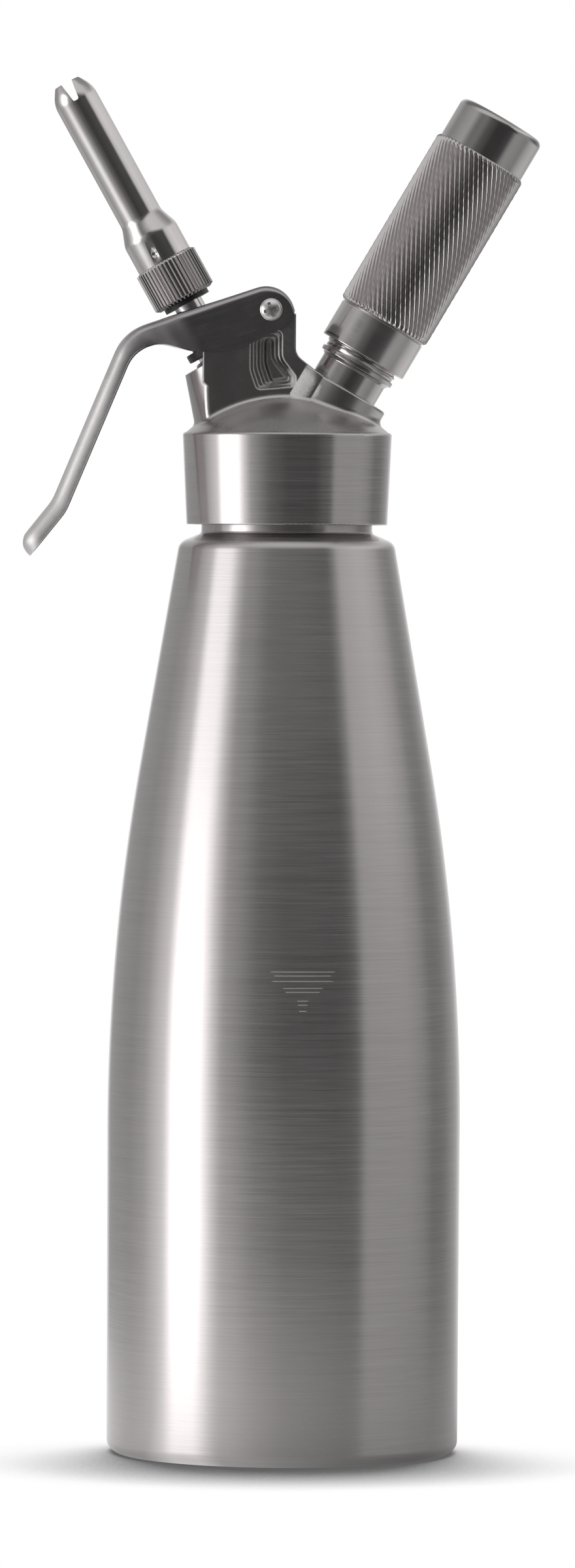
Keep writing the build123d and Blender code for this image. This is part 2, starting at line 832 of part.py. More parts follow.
# ---------------------------------------------------------------- lever
bend = (lever_web_length, lever_rise)
handle_way = Vector(cos(radians(handle_turn)), -sin(radians(handle_turn)))
tip_way = Vector(cos(radians(handle_turn - tip_turn)), -sin(radians(handle_turn - tip_turn)))
knee = Vector(*bend) + handle_way * handle_length
tip = knee + tip_way * tip_length
back_line = [
    (-strap_reach, -strap_end),
    (-strap_reach, lever_rise, strap_rounding),
    (*bend, handle_bend_radius),
    (knee.X, knee.Y, handle_bend_radius),
    (tip.X, tip.Y),
]
band = outline(*back_line, *reversed(inset(back_line, -lever_web)))


def crossing(start, way, other, other_way):
    """Where two straight lines in the plane cross."""
    size = way.X * other_way.Y - way.Y * other_way.X
    gap = other - start
    return start + way * ((gap.X * other_way.Y - gap.Y * other_way.X) / size)


handle_inward = Vector(handle_way.Y, -handle_way.X)
tip_inward = Vector(tip_way.Y, -tip_way.X)
belly = Vector(belly_place, -belly_depth)
rise = Vector(cos(radians(belly_slope)), sin(radians(belly_slope)))
inner_line = knee + handle_inward * handle_depth
inner_tip = tip + tip_inward * tip_depth
inner_bend = crossing(belly, rise, inner_line, handle_way)
inner_knee = crossing(inner_line, handle_way, inner_tip, tip_way)
heel_edge = Vector(-heel_place, -heel_depth)
heel_top = heel_edge + Vector(-sin(radians(lever_slope)), cos(radians(lever_slope))) * heel_height
strap_centre = Vector(strap_rounding - strap_reach, lever_rise - strap_rounding)
strap_inside = strap_centre + Vector(-1, 1).normalized() * (strap_rounding - lever_web / 2)
cheeks = outline(
    (heel_edge.X, heel_edge.Y, tip_rounding),
    (belly.X, belly.Y, belly_radius),
    (inner_bend.X, inner_bend.Y, handle_inner_bend_radius),
    (inner_knee.X, inner_knee.Y, handle_bend_radius),
    (inner_tip.X, inner_tip.Y, tip_rounding),
    (tip.X, tip.Y, tip_rounding),
    (knee.X, knee.Y, handle_bend_radius),
    (*bend, handle_bend_radius),
    (strap_centre.X, lever_rise),
    (strap_inside.X, strap_inside.Y),
    (heel_top.X, heel_top.Y),
)


def plan(shrink):
    """The lever's outline seen square to its web, extruded through its whole height."""
    wide = lever_half_width - shrink
    handle = handle_half_width - shrink
    end = tip_half_width - shrink
    far = tip.X + tip_rounding / 2
    face = outline(
        (-2 * strap_reach, -wide),
        (belly_place + belly_depth, -wide, belly_radius),
        (lever_web_length + handle_depth, -handle, belly_radius),
        (far, -end, tip_plan_rounding),
        (far, end, tip_plan_rounding),
        (lever_web_length + handle_depth, handle, belly_radius),
        (belly_place + belly_depth, wide, belly_radius),
        (-2 * strap_reach, wide),
    )
    return extrude(Plane.XZ * face, 2 * tip.X, both=True)


block = extrude(cheeks, lever_half_width, both=True) + extrude(band, lever_half_width, both=True)
block &= plan(0)
back_wire = Wire(rounded_path(back_line, closed=False))


def on_back(edge):
    """Along either side of the lever's back."""
    middle = edge.position_at(0.5)
    on_side = abs(middle.Z) > tip_half_width - tip_plan_rounding
    return on_side and Vertex(middle.X, middle.Y, 0).distance_to(back_wire) < contact_gap


block = softened(block, on_back, lever_edge)
hollow = plan(lever_side) - extrude(band, 2 * lever_half_width, both=True)
lever = block - hollow
lever -= extrude(Circle(pivot_sleeve_radius + running_clearance), 2 * lever_half_width, both=True)

# two ribs under the web end in rounded noses that press the push ring level with the pivot
tilt = radians(valve_tilt - lever_slope)
nose_rise = stem_shoulder + push_flange + contact_gap + pad_nose - pivot_level
along = Vector(sin(tilt), cos(tilt))
nose = Vector(cos(tilt), -sin(tilt)) * pivot_across + along * nose_rise
web_under = lever_rise - lever_web / 2
rib = outline(
    (nose.X - pad_nose, nose.Y),
    (nose.X + pad_nose, nose.Y),
    (nose.X + pad_root_width / 2, web_under),
    (nose.X - pad_root_width / 2, web_under),
)
rib += Pos(nose.X, nose.Y) * Circle(pad_nose)
rib_start = push_hub_radius + pad_clearance
for side in (-1, 1):
    lever += Pos(0, 0, side * rib_start) * extrude(rib, side * pad_thickness_across)
stem_place = nose + along * ((lever_rise - nose.Y) / along.Y)
stem_slot = SlotCenterToCenter(stem_slot_run, 2 * (stem_neck_radius + stem_slot_clearance))
lever -= Pos(stem_place.X - stem_slot_run / 2, lever_rise, 0) * extrude(
    Plane.XZ * stem_slot, 2 * lever_web, both=True
)
parts["lever"] = lever_frame.location * lever

for name, solid in parts.items():
    export_step(solid, f"parts/{name}.step")
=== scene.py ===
import json
import math
import bmesh
import bpy
import numpy as np
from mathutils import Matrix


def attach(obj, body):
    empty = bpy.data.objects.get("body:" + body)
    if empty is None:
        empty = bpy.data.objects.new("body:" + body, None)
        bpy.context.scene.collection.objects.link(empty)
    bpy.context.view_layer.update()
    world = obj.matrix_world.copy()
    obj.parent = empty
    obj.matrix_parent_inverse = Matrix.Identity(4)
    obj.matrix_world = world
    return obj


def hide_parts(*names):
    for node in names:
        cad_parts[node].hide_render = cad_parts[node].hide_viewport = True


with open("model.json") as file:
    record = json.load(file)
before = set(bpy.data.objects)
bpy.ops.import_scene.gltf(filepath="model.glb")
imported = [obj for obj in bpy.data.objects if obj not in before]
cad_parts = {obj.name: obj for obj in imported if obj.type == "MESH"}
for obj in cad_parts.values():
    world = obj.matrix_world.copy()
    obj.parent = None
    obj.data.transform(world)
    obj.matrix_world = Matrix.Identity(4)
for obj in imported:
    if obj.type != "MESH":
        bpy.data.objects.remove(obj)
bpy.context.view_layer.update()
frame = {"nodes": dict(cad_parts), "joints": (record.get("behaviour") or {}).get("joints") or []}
mm = 0.001
fullTurn = 2 * math.pi
nearly = 1e-6  # two lengths in mm that differ by less are the same
joints = {joint["name"]: joint for joint in frame["joints"]}


def axisOf(jointName):
    # a joint's unit direction, and the point where its line crosses the bottle's axis
    along = np.array(joints[jointName]["axis"], float)
    along /= np.linalg.norm(along)
    place = np.array(joints[jointName]["pos_m"], float)
    return along, place - along * (place[0] / along[0])


valveAlong, hub = axisOf("nozzle_unscrew")
holderAlong, holderHub = axisOf("holder_unscrew")
pivot = np.array(joints["lever_press"]["pos_m"], float)
print("frame loaded, both slanted axes cross at", np.round(hub, 4))

# a rounding gets a point every so many degrees and mm, and takes up to this share of its two runs
arcs = dict(degrees=5, run=2.4, points=4, share=0.49)


def roundedLine(*corners):
    # a polyline through (x, y, rounding) corners in mm; each rounding is an arc tangent to both
    # runs, which may take the whole of a run where the next corner has none
    points = []
    for index, corner in enumerate(corners):
        here = np.array(corner[:2], float)
        rounding = corner[2] if len(corner) > 2 else 0
        if not rounding or index in (0, len(corners) - 1):
            points.append(here[None])
            continue
        near = [corners[index - 1], corners[index + 1]]
        before, after = (np.array(other[:2], float) - here for other in near)
        longBefore, longAfter = np.linalg.norm(before), np.linalg.norm(after)
        before, after = before / longBefore, after / longAfter
        half = math.acos(np.clip(before @ after, -1, 1)) / 2
        roomBefore, roomAfter = (arcs["share"] * (1 if len(other) > 2 else 2) for other in near)
        reach = min(rounding / math.tan(half), roomBefore * longBefore, roomAfter * longAfter)
        radius = reach * math.tan(half)
        sweep = math.pi - 2 * half
        centre = here + (before + after) / np.linalg.norm(before + after) * radius / math.sin(half)
        start, end = here + before * reach - centre, here + after * reach - centre
        count = max(arcs["points"], int(math.degrees(sweep) / arcs["degrees"]) + 2,
                    int(sweep * radius / arcs["run"]) + 1)
        share = np.linspace(0, 1, count)[:, None]
        arc = start * np.sin((1 - share) * sweep) + end * np.sin(share * sweep)
        points.append(centre + arc / math.sin(sweep))
    return np.concatenate(points)


def divided(line, step):
    # the same polyline with no run longer than a step
    out = [line[:1]]
    for start, end in zip(line[:-1], line[1:]):
        count = max(1, int(np.ceil(np.linalg.norm(end - start) / step)))
        out.append(start + (end - start) * np.linspace(0, 1, count + 1)[1:, None])
    return np.concatenate(out)


def beside(line, distance):
    # the polyline moved to its left: each point goes along the mean normal of its two runs
    runs = np.diff(line, axis=0)
    runs /= np.linalg.norm(runs, axis=1)[:, None]
    before, after = np.concatenate([runs[:1], runs]), np.concatenate([runs, runs[-1:]])
    mean = before + after
    normal = np.stack([-mean[:, 1], mean[:, 0]], 1)
    return line + 2 * distance * normal / (mean**2).sum(1)[:, None]


def newMesh(name, points, *faces):
    # a mesh from an array of points and arrays of faces that hold their numbers
    mesh = bpy.data.meshes.new(name)
    mesh.from_pydata(points.reshape(-1, 3).tolist(), [], sum((group.tolist() for group in faces), []))
    return mesh


def gridMesh(name, points, closedAlong=False, slip=0):
    # a closed surface from points[row, turn]: quads between neighbours, round in the second index.
    # A row whose points all meet becomes one pole vertex, with triangles round it; slip is the
    # number of turns by which the first row is shifted where the last row closes on it
    rows, turns = points.shape[:2]
    index = np.arange(rows * turns).reshape(rows, turns)
    poles = np.ptp(points, axis=1).max(axis=1) < nearly * mm
    index[poles] = index[poles, :1]
    upper = np.concatenate([index[1:], np.roll(index[:1], slip, 1)]) if closedAlong else index[1:]
    lower = index[: len(upper)]
    quads = np.stack([lower, np.roll(lower, -1, 1), np.roll(upper, -1, 1), upper], -1).reshape(-1, 4)
    used, place = np.unique(quads, return_inverse=True)
    quads = place.reshape(-1, 4)
    first, last = quads[:, 0] == quads[:, 1], quads[:, 2] == quads[:, 3]
    return newMesh(name, points.reshape(-1, 3)[used],
                   quads[~(first | last)], quads[first][:, [0, 2, 3]], quads[last][:, :3])


def turned(line, turns, origin=(0, 0, 0), along=(0, 0, 1), swell=None, twist=0):
    # points[row, turn]: a (radius, height) line in mm swept round an axis; swell(angle, height,
    # radius) is added to the radius, and each row starts at its own twist
    along = np.array(along, float)
    across = np.cross((0, 1, 0), along)
    side = np.cross(along, across)
    angle = np.linspace(0, fullTurn, turns, endpoint=False)[None, :] + np.reshape(twist, (-1, 1))
    radius = line[:, :1] + np.zeros_like(angle)
    height = line[:, 1:] + np.zeros_like(angle)
    if swell is not None:
        radius = radius + swell(angle, height, radius)
    places = (radius * np.cos(angle))[..., None] * across + (radius * np.sin(angle))[..., None] * side
    return np.array(origin, float) + (places + height[..., None] * along) * mm


def easing(value, low, high):
    # 0 at low, 1 at high, with an S between
    share = np.clip((value - low) / (high - low), 0, 1)
    return share * share * (3 - 2 * share)


def within(value, low, high, fade):
    # 1 between low and high, easing to 0 at both, over the length of the fade
    return easing(value, low, low + fade) * easing(-value, -high, fade - high)


threadSwing = 0.8  # how far the cosine swings for a ridge 1 high


def threadRidge(angle, height, pitch, low, high, fade):
    # a rounded ridge that climbs by its pitch in one turn: a cosine of height and angle, clipped so
    # that its crest and root are flat
    ridge = np.clip(0.5 + threadSwing * np.cos(fullTurn * height / pitch - angle), 0, 1)
    return ridge * within(height, low, high, fade)


def linked(name, data):
    # an object of this mesh or camera, in the scene
    thing = bpy.data.objects.new(name, data)
    bpy.context.scene.collection.objects.link(thing)
    return thing


def addPiece(name, mesh, body, paint, slot, *stoodFor, crease=32):
    # a finished piece, smooth but for edges sharper than the crease, riding on its body
    mesh.shade_smooth()
    mesh.set_sharp_from_angle(angle=math.radians(crease))
    mesh.materials.append(paint)
    thing = linked(name, mesh)
    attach(thing, body)
    if stoodFor:
        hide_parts(*stoodFor)
    print("made", name, len(mesh.polygons), "faces")


class Wire:
    # a socket in shader maths: an operator adds the Math node of its name
    def __init__(self, tree, socket):
        self.tree, self.socket = tree, socket

    def __add__(self, other): return addMath(self.tree, "ADD", self, other)
    def __radd__(self, other): return addMath(self.tree, "ADD", other, self)
    def __sub__(self, other): return addMath(self.tree, "SUBTRACT", self, other)
    def __rsub__(self, other): return addMath(self.tree, "SUBTRACT", other, self)
    def __mul__(self, other): return addMath(self.tree, "MULTIPLY", self, other)
    def __rmul__(self, other): return addMath(self.tree, "MULTIPLY", other, self)


def addNode(tree, kind, settings=None, sockets=None, out=0):
    # any node: its settings first, with a ramp's stops among them, then its sockets' values or links
    made = tree.nodes.new(kind)
    for name, value in (settings or {}).items():
        if name != "stops":
            setattr(made, name, value)
            continue
        for spare in range(len(value) - len(made.color_ramp.elements)):
            made.color_ramp.elements.new(0.5)
        for element, (place, level) in zip(made.color_ramp.elements, value):
            element.position = place
            element.color = (level, level, level, 1)
    for name, value in (sockets or {}).items():
        if isinstance(value, Wire):
            tree.links.new(value.socket, made.inputs[name])
        else:
            made.inputs[name].default_value = value
    return Wire(tree, made.outputs[out]) if made.outputs else made


def addMath(tree, operation, *values):
    return addNode(tree, "ShaderNodeMath", {"operation": operation}, dict(enumerate(values)))


class Finish:
    # the nodes of one material, or of the world: methods for what the finishes share
    def __init__(self, owner):
        owner.use_nodes = True
        self.owner, self.tree = owner, owner.node_tree
        self.tree.nodes.clear()

    def node(self, kind, settings=None, sockets=None, out=0):
        return addNode(self.tree, kind, settings, sockets, out)

    def place(self, scale=(1, 1, 1), turn=(0, 0, 0)):
        # the object's own coordinates, turned and then scaled, in 1/m
        here = self.node("ShaderNodeTexCoord", out="Object")
        turnedHere = self.node("ShaderNodeMapping", {}, {"Vector": here, "Rotation": turn})
        return self.node("ShaderNodeVectorMath", {"operation": "MULTIPLY"}, {0: turnedHere, 1: scale})

    def part(self, vector, axis):
        # one coordinate of a vector: 0, 1 or 2
        return self.node("ShaderNodeSeparateXYZ", {}, {0: vector}, out=axis)

    def ray(self, kind):
        # 1 for rays of this kind
        return self.node("ShaderNodeLightPath", out="Is " + kind + " Ray")

    def noise(self, vector, detail=2.0, roughness=0.5):
        return self.node("ShaderNodeTexNoise", {},
                         {"Vector": vector, "Scale": 1.0, "Detail": detail, "Roughness": roughness})

    def cloud(self, scale, detail=3.0):
        # noise that is as long as it is wide
        return self.noise(self.place((scale,) * 3), detail)

    def spread(self, value, fromLow, fromHigh, toLow, toHigh):
        # a value's range carried over to another, clamped
        return self.node("ShaderNodeMapRange", {}, {
            "Value": value, "From Min": fromLow, "From Max": fromHigh, "To Min": toLow, "To Max": toHigh})

    def follow(self, noise, low, high):
        # from low to high over the range that most of a noise lies in
        return self.spread(noise, 0.35, 0.65, low, high)

    def tint(self, share, first, second):
        # a mix of two colours, either of which may be a pattern already
        first, second = (colour if isinstance(colour, Wire) else (*colour, 1) for colour in (first, second))
        # the Mix node has sockets of the same name for each kind of value: 6, 7 and 2 are its colours
        return self.node("ShaderNodeMix", {"data_type": "RGBA"}, {0: share, 6: first, 7: second}, out=2)

    def bump(self, height, distance, lip=0):
        # distance in mm for a height of 1; lip is the rounding in mm that edges seem to have
        sockets = {"Height": height, "Distance": distance * mm}
        if lip:
            sockets["Normal"] = self.node("ShaderNodeBevel", {"samples": 6}, {"Radius": lip * mm})
        return self.node("ShaderNodeBump", {}, sockets)

    def shader(self, **sockets):
        # the main shader, whose sockets are named with _ for a space
        return self.node("ShaderNodeBsdfPrincipled", {},
                         {name.replace("_", " "): value for name, value in sockets.items()})

    def done(self, shader):
        self.node("ShaderNodeOutputMaterial", {}, {"Surface": shader})
        return self.owner


def newFinish(name):
    return Finish(bpy.data.materials.new(name))


valveTurn = (0, math.asin(-valveAlong[0]), 0)  # turns the valve's axis upright
holderTurn = (0, math.asin(-holderAlong[0]), 0)

brushed = dict(
    light=(0.635, 0.605, 0.60), dark=(0.555, 0.527, 0.523), toneRange=(0.3, 0.7),
    rough=(0.20, 0.28), skirtRough=(0.18, 0.26), anisotropy=0.97, skirtAnisotropy=0.95, sideways=0.25,
    fine=(55, 55, 5200), broad=(24, 24, 900), fineShare=0.68,  # per metre, round the wall and up it
    cloud=(14, 14, 22), cloudShare=0.4, depth=0.012,
)


def brushedStrokes(finish):
    # brushing round an axis: noise stretched along the strokes, fine and broad together
    fine = finish.noise(finish.place(brushed["fine"]), 3.0)
    broad = finish.noise(finish.place(brushed["broad"]), 2.0)
    return fine * brushed["fineShare"] + broad * (1 - brushed["fineShare"])


def brushedShader(finish, strokes, rough, anisotropy):
    # the tone follows the strokes, and the gloss is drawn out across them
    tone = finish.spread(strokes, *brushed["toneRange"], 0, 1)
    return finish.shader(
        Base_Color=finish.tint(tone, brushed["dark"], brushed["light"]),
        Metallic=1.0,
        Roughness=rough,
        Anisotropic=anisotropy,
        Anisotropic_Rotation=brushed["sideways"],
        Normal=finish.bump(strokes, brushed["depth"]),
    )


def brushedSteel(name):
    finish = newFinish(name)
    strokes = brushedStrokes(finish)
    cloud = finish.noise(finish.place(brushed["cloud"]), 3.0)
    mixed = strokes * (1 - brushed["cloudShare"]) + cloud * brushed["cloudShare"]
    rough = finish.follow(mixed, *brushed["rough"])
    return finish.done(brushedShader(finish, strokes, rough, brushed["anisotropy"]))


casting = dict(
    light=(0.56, 0.54, 0.535), dark=(0.49, 0.47, 0.465), rough=(0.18, 0.28),
    pits=1500, pitRoughness=0.6, cloud=120, cloudShare=0.6, depth=0.004, lip=0.6,
    domeRough=0.42, domeUp=(0.7, 0.9), skirtTop=285.9, skirtEdge=0.1,
    # edges, partly worn and partly painted with the highlight that rounded edges catch: frost is how far they
    # lose their mirror; their width is in mm
    wornAndHighlit=(0.95, 0.925, 0.92), wornAndHighlitRough=0.5, frost=0.8, wornAndHighlitWidth=0.85, wornAndHighlitRange=(0.86, 0.99),
    # a spot dressed with a file between web and boss: its place and reach in metres, the share of
    # the reach where it starts to fade, how ragged it is, and which faces it is on
    spot=(0.0035, -0.0112, 0.3000), spotReach=0.0058, spotFade=0.7, spotRagged=0.006,
    spotLeft=(-0.16, -0.04), grit=2600, gritRoughness=0.7, gritRange=(0.35, 0.55), gritLevel=0.55,
)


def wornAndHighlitShare(finish, facing, cloud):
    # 1 on edges, where the rounded normal leaves the flat one, which are partly worn and partly a painted
    # highlight, and on the dressed spot
    eased = finish.node("ShaderNodeBevel", {"samples": 8}, {"Radius": casting["wornAndHighlitWidth"] * mm})
    agree = finish.node("ShaderNodeVectorMath", {"operation": "DOT_PRODUCT"}, {0: facing, 1: eased},
                        out="Value")
    edges = finish.spread(agree, *casting["wornAndHighlitRange"], 1, 0)
    away = finish.node("ShaderNodeVectorMath", {"operation": "DISTANCE"},
                       {0: finish.place(), 1: casting["spot"]}, out="Value")
    ragged = away + (cloud - 0.5) * casting["spotRagged"]
    near = finish.spread(ragged, casting["spotReach"] * casting["spotFade"], casting["spotReach"], 1, 0)
    grit = finish.noise(finish.place((casting["grit"],) * 3), 3.0, casting["gritRoughness"])
    leftward = finish.spread(finish.part(facing, 0), *casting["spotLeft"], 1, 0)
    dressed = leftward * near * finish.spread(grit, *casting["gritRange"], casting["gritLevel"], 1)
    return addMath(finish.tree, "MAXIMUM", edges, dressed)


def castSteel(name):
    # satin polished casting above, rougher on the dome, and the turned and brushed skirt below
    finish = newFinish(name)
    facing = finish.node("ShaderNodeNewGeometry", out="Normal")
    skin = finish.noise(finish.place((casting["pits"],) * 3), 4.0, casting["pitRoughness"])
    cloud = finish.cloud(casting["cloud"])
    wornAndHighlit = wornAndHighlitShare(finish, facing, cloud)
    mixed = cloud * casting["cloudShare"] + skin * (1 - casting["cloudShare"])
    dome = finish.spread(finish.part(facing, 2), *casting["domeUp"], 0, 1)
    satin = finish.follow(mixed, *casting["rough"]) + dome * (casting["domeRough"] - casting["rough"][1])
    tone = finish.tint(cloud, casting["dark"], casting["light"])
    top = finish.shader(
        # edges take a lighter, less mirrored colour: partly wear, partly a painted highlight where rounded
        # edges catch light
        Base_Color=finish.tint(wornAndHighlit, tone, casting["wornAndHighlit"]),
        Metallic=1 - wornAndHighlit * casting["frost"],
        Roughness=satin * (1 - wornAndHighlit) + wornAndHighlit * casting["wornAndHighlitRough"],
        Normal=finish.bump(skin, casting["depth"], casting["lip"]),
    )
    strokes = brushedStrokes(finish)
    rough = finish.follow(strokes, *brushed["skirtRough"])
    skirt = brushedShader(finish, strokes, rough, brushed["skirtAnisotropy"])
    height = finish.part(finish.node("ShaderNodeTexCoord", out="Object"), 2)
    edge = [(casting["skirtTop"] + side * casting["skirtEdge"]) * mm for side in (-1, 1)]
    above = finish.spread(height, *edge, 0, 1)
    return finish.done(finish.node("ShaderNodeMixShader", {}, {0: above, 1: skirt, 2: top}))


polish = dict(lines=(30, 30, 2600), lineShare=0.4, cloud=160, depth=0.003)


def polishedSteel(name, light, dark, rough, turn=(0, 0, 0), lip=0):
    # mirror polish with faint turning lines round the piece and a few cloudy wipes
    finish = newFinish(name)
    lines = finish.noise(finish.place(polish["lines"], turn), 2.0)
    cloud = finish.cloud(polish["cloud"])
    mixed = lines * polish["lineShare"] + cloud * (1 - polish["lineShare"])
    return finish.done(finish.shader(
        Base_Color=finish.tint(cloud, dark, light),
        Metallic=1.0,
        Roughness=finish.follow(mixed, *rough),
        Normal=finish.bump(lines, polish["depth"], lip),
    ))


pressed = dict(
    # the web's dark colour is painted shade, and the handle's light colour is a painted highlight
    web=(0.45, 0.425, 0.435), handle=(0.84, 0.815, 0.81), handleFrom=(-52, -38),  # along X, in mm
    webRough=0.16, handleRough=0.42, wipes=0.12, wipeShare=0.5, ragged=0.01,
    scratches=(110, 110, 2200), depth=0.02,
)


def pressedSteel(name):
    # the lever: a polished web with fine scratches along it, going over to the handle; the web's colour is
    # painted darker and the handle's lighter, for the shade and light that each catches
    finish = newFinish(name)
    scratches = finish.noise(finish.place(pressed["scratches"], (0, math.radians(lever["slope"]), 0)), 3.0)
    cloud = finish.cloud(polish["cloud"])
    sideways = finish.part(finish.place(), 0) + (cloud - 0.5) * pressed["ragged"]
    # 1 on the handle and 0 on the web: where the handle's painted highlight takes over from the web's painted
    #                                   shade
    litHandleShare = finish.spread(sideways, *(edge * mm for edge in pressed["handleFrom"]), 1, 0)
    mixed = scratches * pressed["wipeShare"] + cloud * (1 - pressed["wipeShare"])
    wipes = finish.follow(mixed, 0, pressed["wipes"])
    return finish.done(finish.shader(
        # painted light: the handle's colour is lighter and the web's darker, for how light falls on each
        Base_Color=finish.tint(litHandleShare, pressed["web"], pressed["handle"]),
        Metallic=1.0,
        Roughness=litHandleShare * (pressed["handleRough"] - pressed["webRough"]) + pressed["webRough"] + wipes,
        Normal=finish.bump(scratches, pressed["depth"]),
    ))


plain = dict(grain=900, cloud=140, depth=0.02)


def dullPart(name, light, dark, rough=(0.5, 0.7), metallic=0.0):
    # moulded rubber or plastic, or plain wire: a fine grain and a little unevenness in tone
    finish = newFinish(name)
    skin = finish.cloud(plain["grain"])
    cloud = finish.cloud(plain["cloud"], 2.0)
    return finish.done(finish.shader(
        Base_Color=finish.tint(finish.follow(cloud, 0, 1), dark, light),
        Metallic=metallic,
        Roughness=finish.follow(skin, *rough),
        Normal=finish.bump(skin, plain["depth"]),
    ))


bottleSteel = brushedSteel("brushedBottle")
headSteel = castSteel("castHead")
# light tone, dark tone, roughness, the turning lines' tilt, and the edges' rounding
valvePolish = polishedSteel("polishedValve", (0.72, 0.69, 0.685), (0.62, 0.592, 0.588),
                            (0.08, 0.16), valveTurn, 0.25)
holderPolish = polishedSteel("polishedHolder", (0.58, 0.555, 0.55), (0.5, 0.477, 0.473),
                             (0.07, 0.13), holderTurn)
screwPolish = polishedSteel("polishedScrew", (0.86, 0.83, 0.825), (0.78, 0.75, 0.745), (0.22, 0.34))
knurlSteel = polishedSteel("knurledSteel", (0.68, 0.65, 0.645), (0.58, 0.553, 0.55),
                           (0.12, 0.22), holderTurn)
# light tone, dark tone, roughness and metal
springWire = dullPart("springWire", (0.55, 0.55, 0.56), (0.45, 0.45, 0.46), (0.25, 0.4), 1.0)
blackRubber = dullPart("blackRubber", (0.045, 0.045, 0.047), (0.03, 0.03, 0.032))
blackPlastic = dullPart("blackPlastic", (0.03, 0.03, 0.033), (0.02, 0.02, 0.022), (0.3, 0.45))
redSilicone = dullPart("redSilicone", (0.52, 0.06, 0.045), (0.42, 0.045, 0.035), (0.45, 0.6))
etchedMark = dullPart("etchedMark", (0.64, 0.63, 0.62), (0.56, 0.55, 0.54), (0.6, 0.75), 0.6)
print("materials made")


bottle = dict(
    radius=49.7, foot=49.3, footRing=42.0, dish=2.5, corner=3.5, bendHeight=142.1, bendRadius=600.0,
    shoulder=30.2, shoulderHeight=255.8, shoulderRounding=3.5, neck=24.0, neckHeight=258.4, neckRounding=1.2,
    wall=1.2, mouth=22.3, rim=279.0, rimRounding=0.6,
    gap=1.0, clear=0.2,  # between a rounding and where its wall begins, and inside of the mouth
    threadLow=262.6, threadHigh=276.0, threadPitch=3.0, threadDepth=1.0, threadFade=1.0, threadStep=0.25,
    turns=288,
)


def bottleWall(size):
    # a line turned about the bottle's axis: from the middle of the dish out over the foot ring, up
    # the side and the threaded neck, over the rim, down inside at the wall's distance, and in
    neck, rim, mouth, soft = size["neck"], size["rim"], size["mouth"], size["rimRounding"]
    outer = roundedLine(
        (0, size["dish"]), (size["footRing"] - size["dish"], size["dish"], size["dish"] / 2),
        (size["footRing"], 0, size["dish"] / 2), (size["foot"], 0, size["corner"]),
        (size["radius"], size["bendHeight"], size["bendRadius"]),
        (size["shoulder"], size["shoulderHeight"], size["shoulderRounding"]),
        (neck, size["neckHeight"], size["neckRounding"]), (neck, size["threadLow"]),
    )
    side = outer[:-1][outer[:-1, 1] > size["corner"] + size["gap"]]
    inner = beside(side, size["wall"])[::-1]
    thread = divided(np.array([(neck, size["threadLow"]), (neck, rim - soft)]), size["threadStep"])
    over = roundedLine((neck, rim - soft), (neck, rim, soft), (mouth, rim, soft),
                       (mouth, size["neckHeight"] - size["gap"]))
    inside, floor = size["foot"] - size["wall"], size["dish"] + size["wall"]
    base = roundedLine((inside, size["corner"] + 2 * size["gap"]), (inside, floor, size["corner"]),
                       (0, floor))
    line = np.concatenate([outer, thread[1:-1], over, inner[inner[:, 0] > mouth + size["clear"]], base])

    def screw(angle, height, radius):
        ridge = threadRidge(angle, height, size["threadPitch"], size["threadLow"], size["threadHigh"],
                            size["threadFade"])
        return ridge * size["threadDepth"] * (np.abs(radius - neck) < nearly)

    return gridMesh("bottleWall", turned(line, size["turns"], swell=screw))


addPiece("bottleWall", bottleWall(bottle), "bottle", bottleSteel, "bottle_steel", "bottle")


fillMark = dict(
    middle=5.1, thickness=0.28, proud=0.03, sunk=0.05, points=25, tip=0.2,
    # heights and widths; their ends are as thick as the tip's share of the thickness
    lines=[(137.4, 18.0), (136.3, 16.0), (134.8, 17.2), (132.9, 11.2), (131.8, 9.7), (129.4, 3.1),
           (128.3, 2.7), (126.6, 2.0)],
)


def markLines(mark, size):
    # points[line, place, corner]: a small rectangle carried along each line, laid round the wall
    # (depth is the root of the radius squared less the place across squared), narrower at its ends
    outer = roundedLine((size["foot"], 0), (size["radius"], size["bendHeight"], size["bendRadius"]),
                        (size["shoulder"], size["shoulderHeight"]))
    height, width = np.array(mark["lines"]).T[..., None, None]
    wall = np.interp(height, outer[:, 1], outer[:, 0])
    full = np.ones((1, mark["points"], 1))
    full[:, [0, -1]] = mark["tip"]
    outward = np.array([-mark["sunk"], mark["proud"], mark["proud"], -mark["sunk"]])
    upward = np.array([-1, -1, 1, 1]) * mark["thickness"] / 2
    out = outward * full + wall
    across = mark["middle"] + width * np.linspace(-0.5, 0.5, mark["points"])[:, None] + 0 * out
    return np.stack([across, -np.sqrt(out**2 - across**2), upward * full + height], -1) * mm


def joinedRibbons(name, points):
    # closed ribbons from points[ribbon, place, corner]: quads along each, and a face at both ends
    index = np.arange(points[..., 0].size).reshape(points.shape[:3])
    low, high = index[:, :-1], index[:, 1:]
    quads = np.stack([low, high, np.roll(high, -1, 2), np.roll(low, -1, 2)], -1).reshape(-1, 4)
    return newMesh(name, points, quads, index[:, 0], index[:, -1, ::-1])


markMesh = joinedRibbons("fillMark", markLines(fillMark, bottle))
addPiece("fillMark", markMesh, "bottle", etchedMark, "bottle_steel")


port = dict(
    plug=8.5, plugLow=22.0, plugRounding=0.5, pocket=3.6, pocketTop=25.2, bossTop=31.2, crease=0.1, stem=9.8,
    stemRounding=0.5, ring=11.2, ringLow=37.6, ringHigh=39.2, ringSlope=0.7, rounding=0.3,
    root=10.5, crest=10.9, pitch=1.5, undercut=0.8, fade=0.8, fadeFrom=0.5, threadStep=0.14,
    top=50.0, bevel=0.4, socket=4.9, socketFloor=45.5, pin=1.5, pinLow=40.0, passage=0.8, turns=192,
)


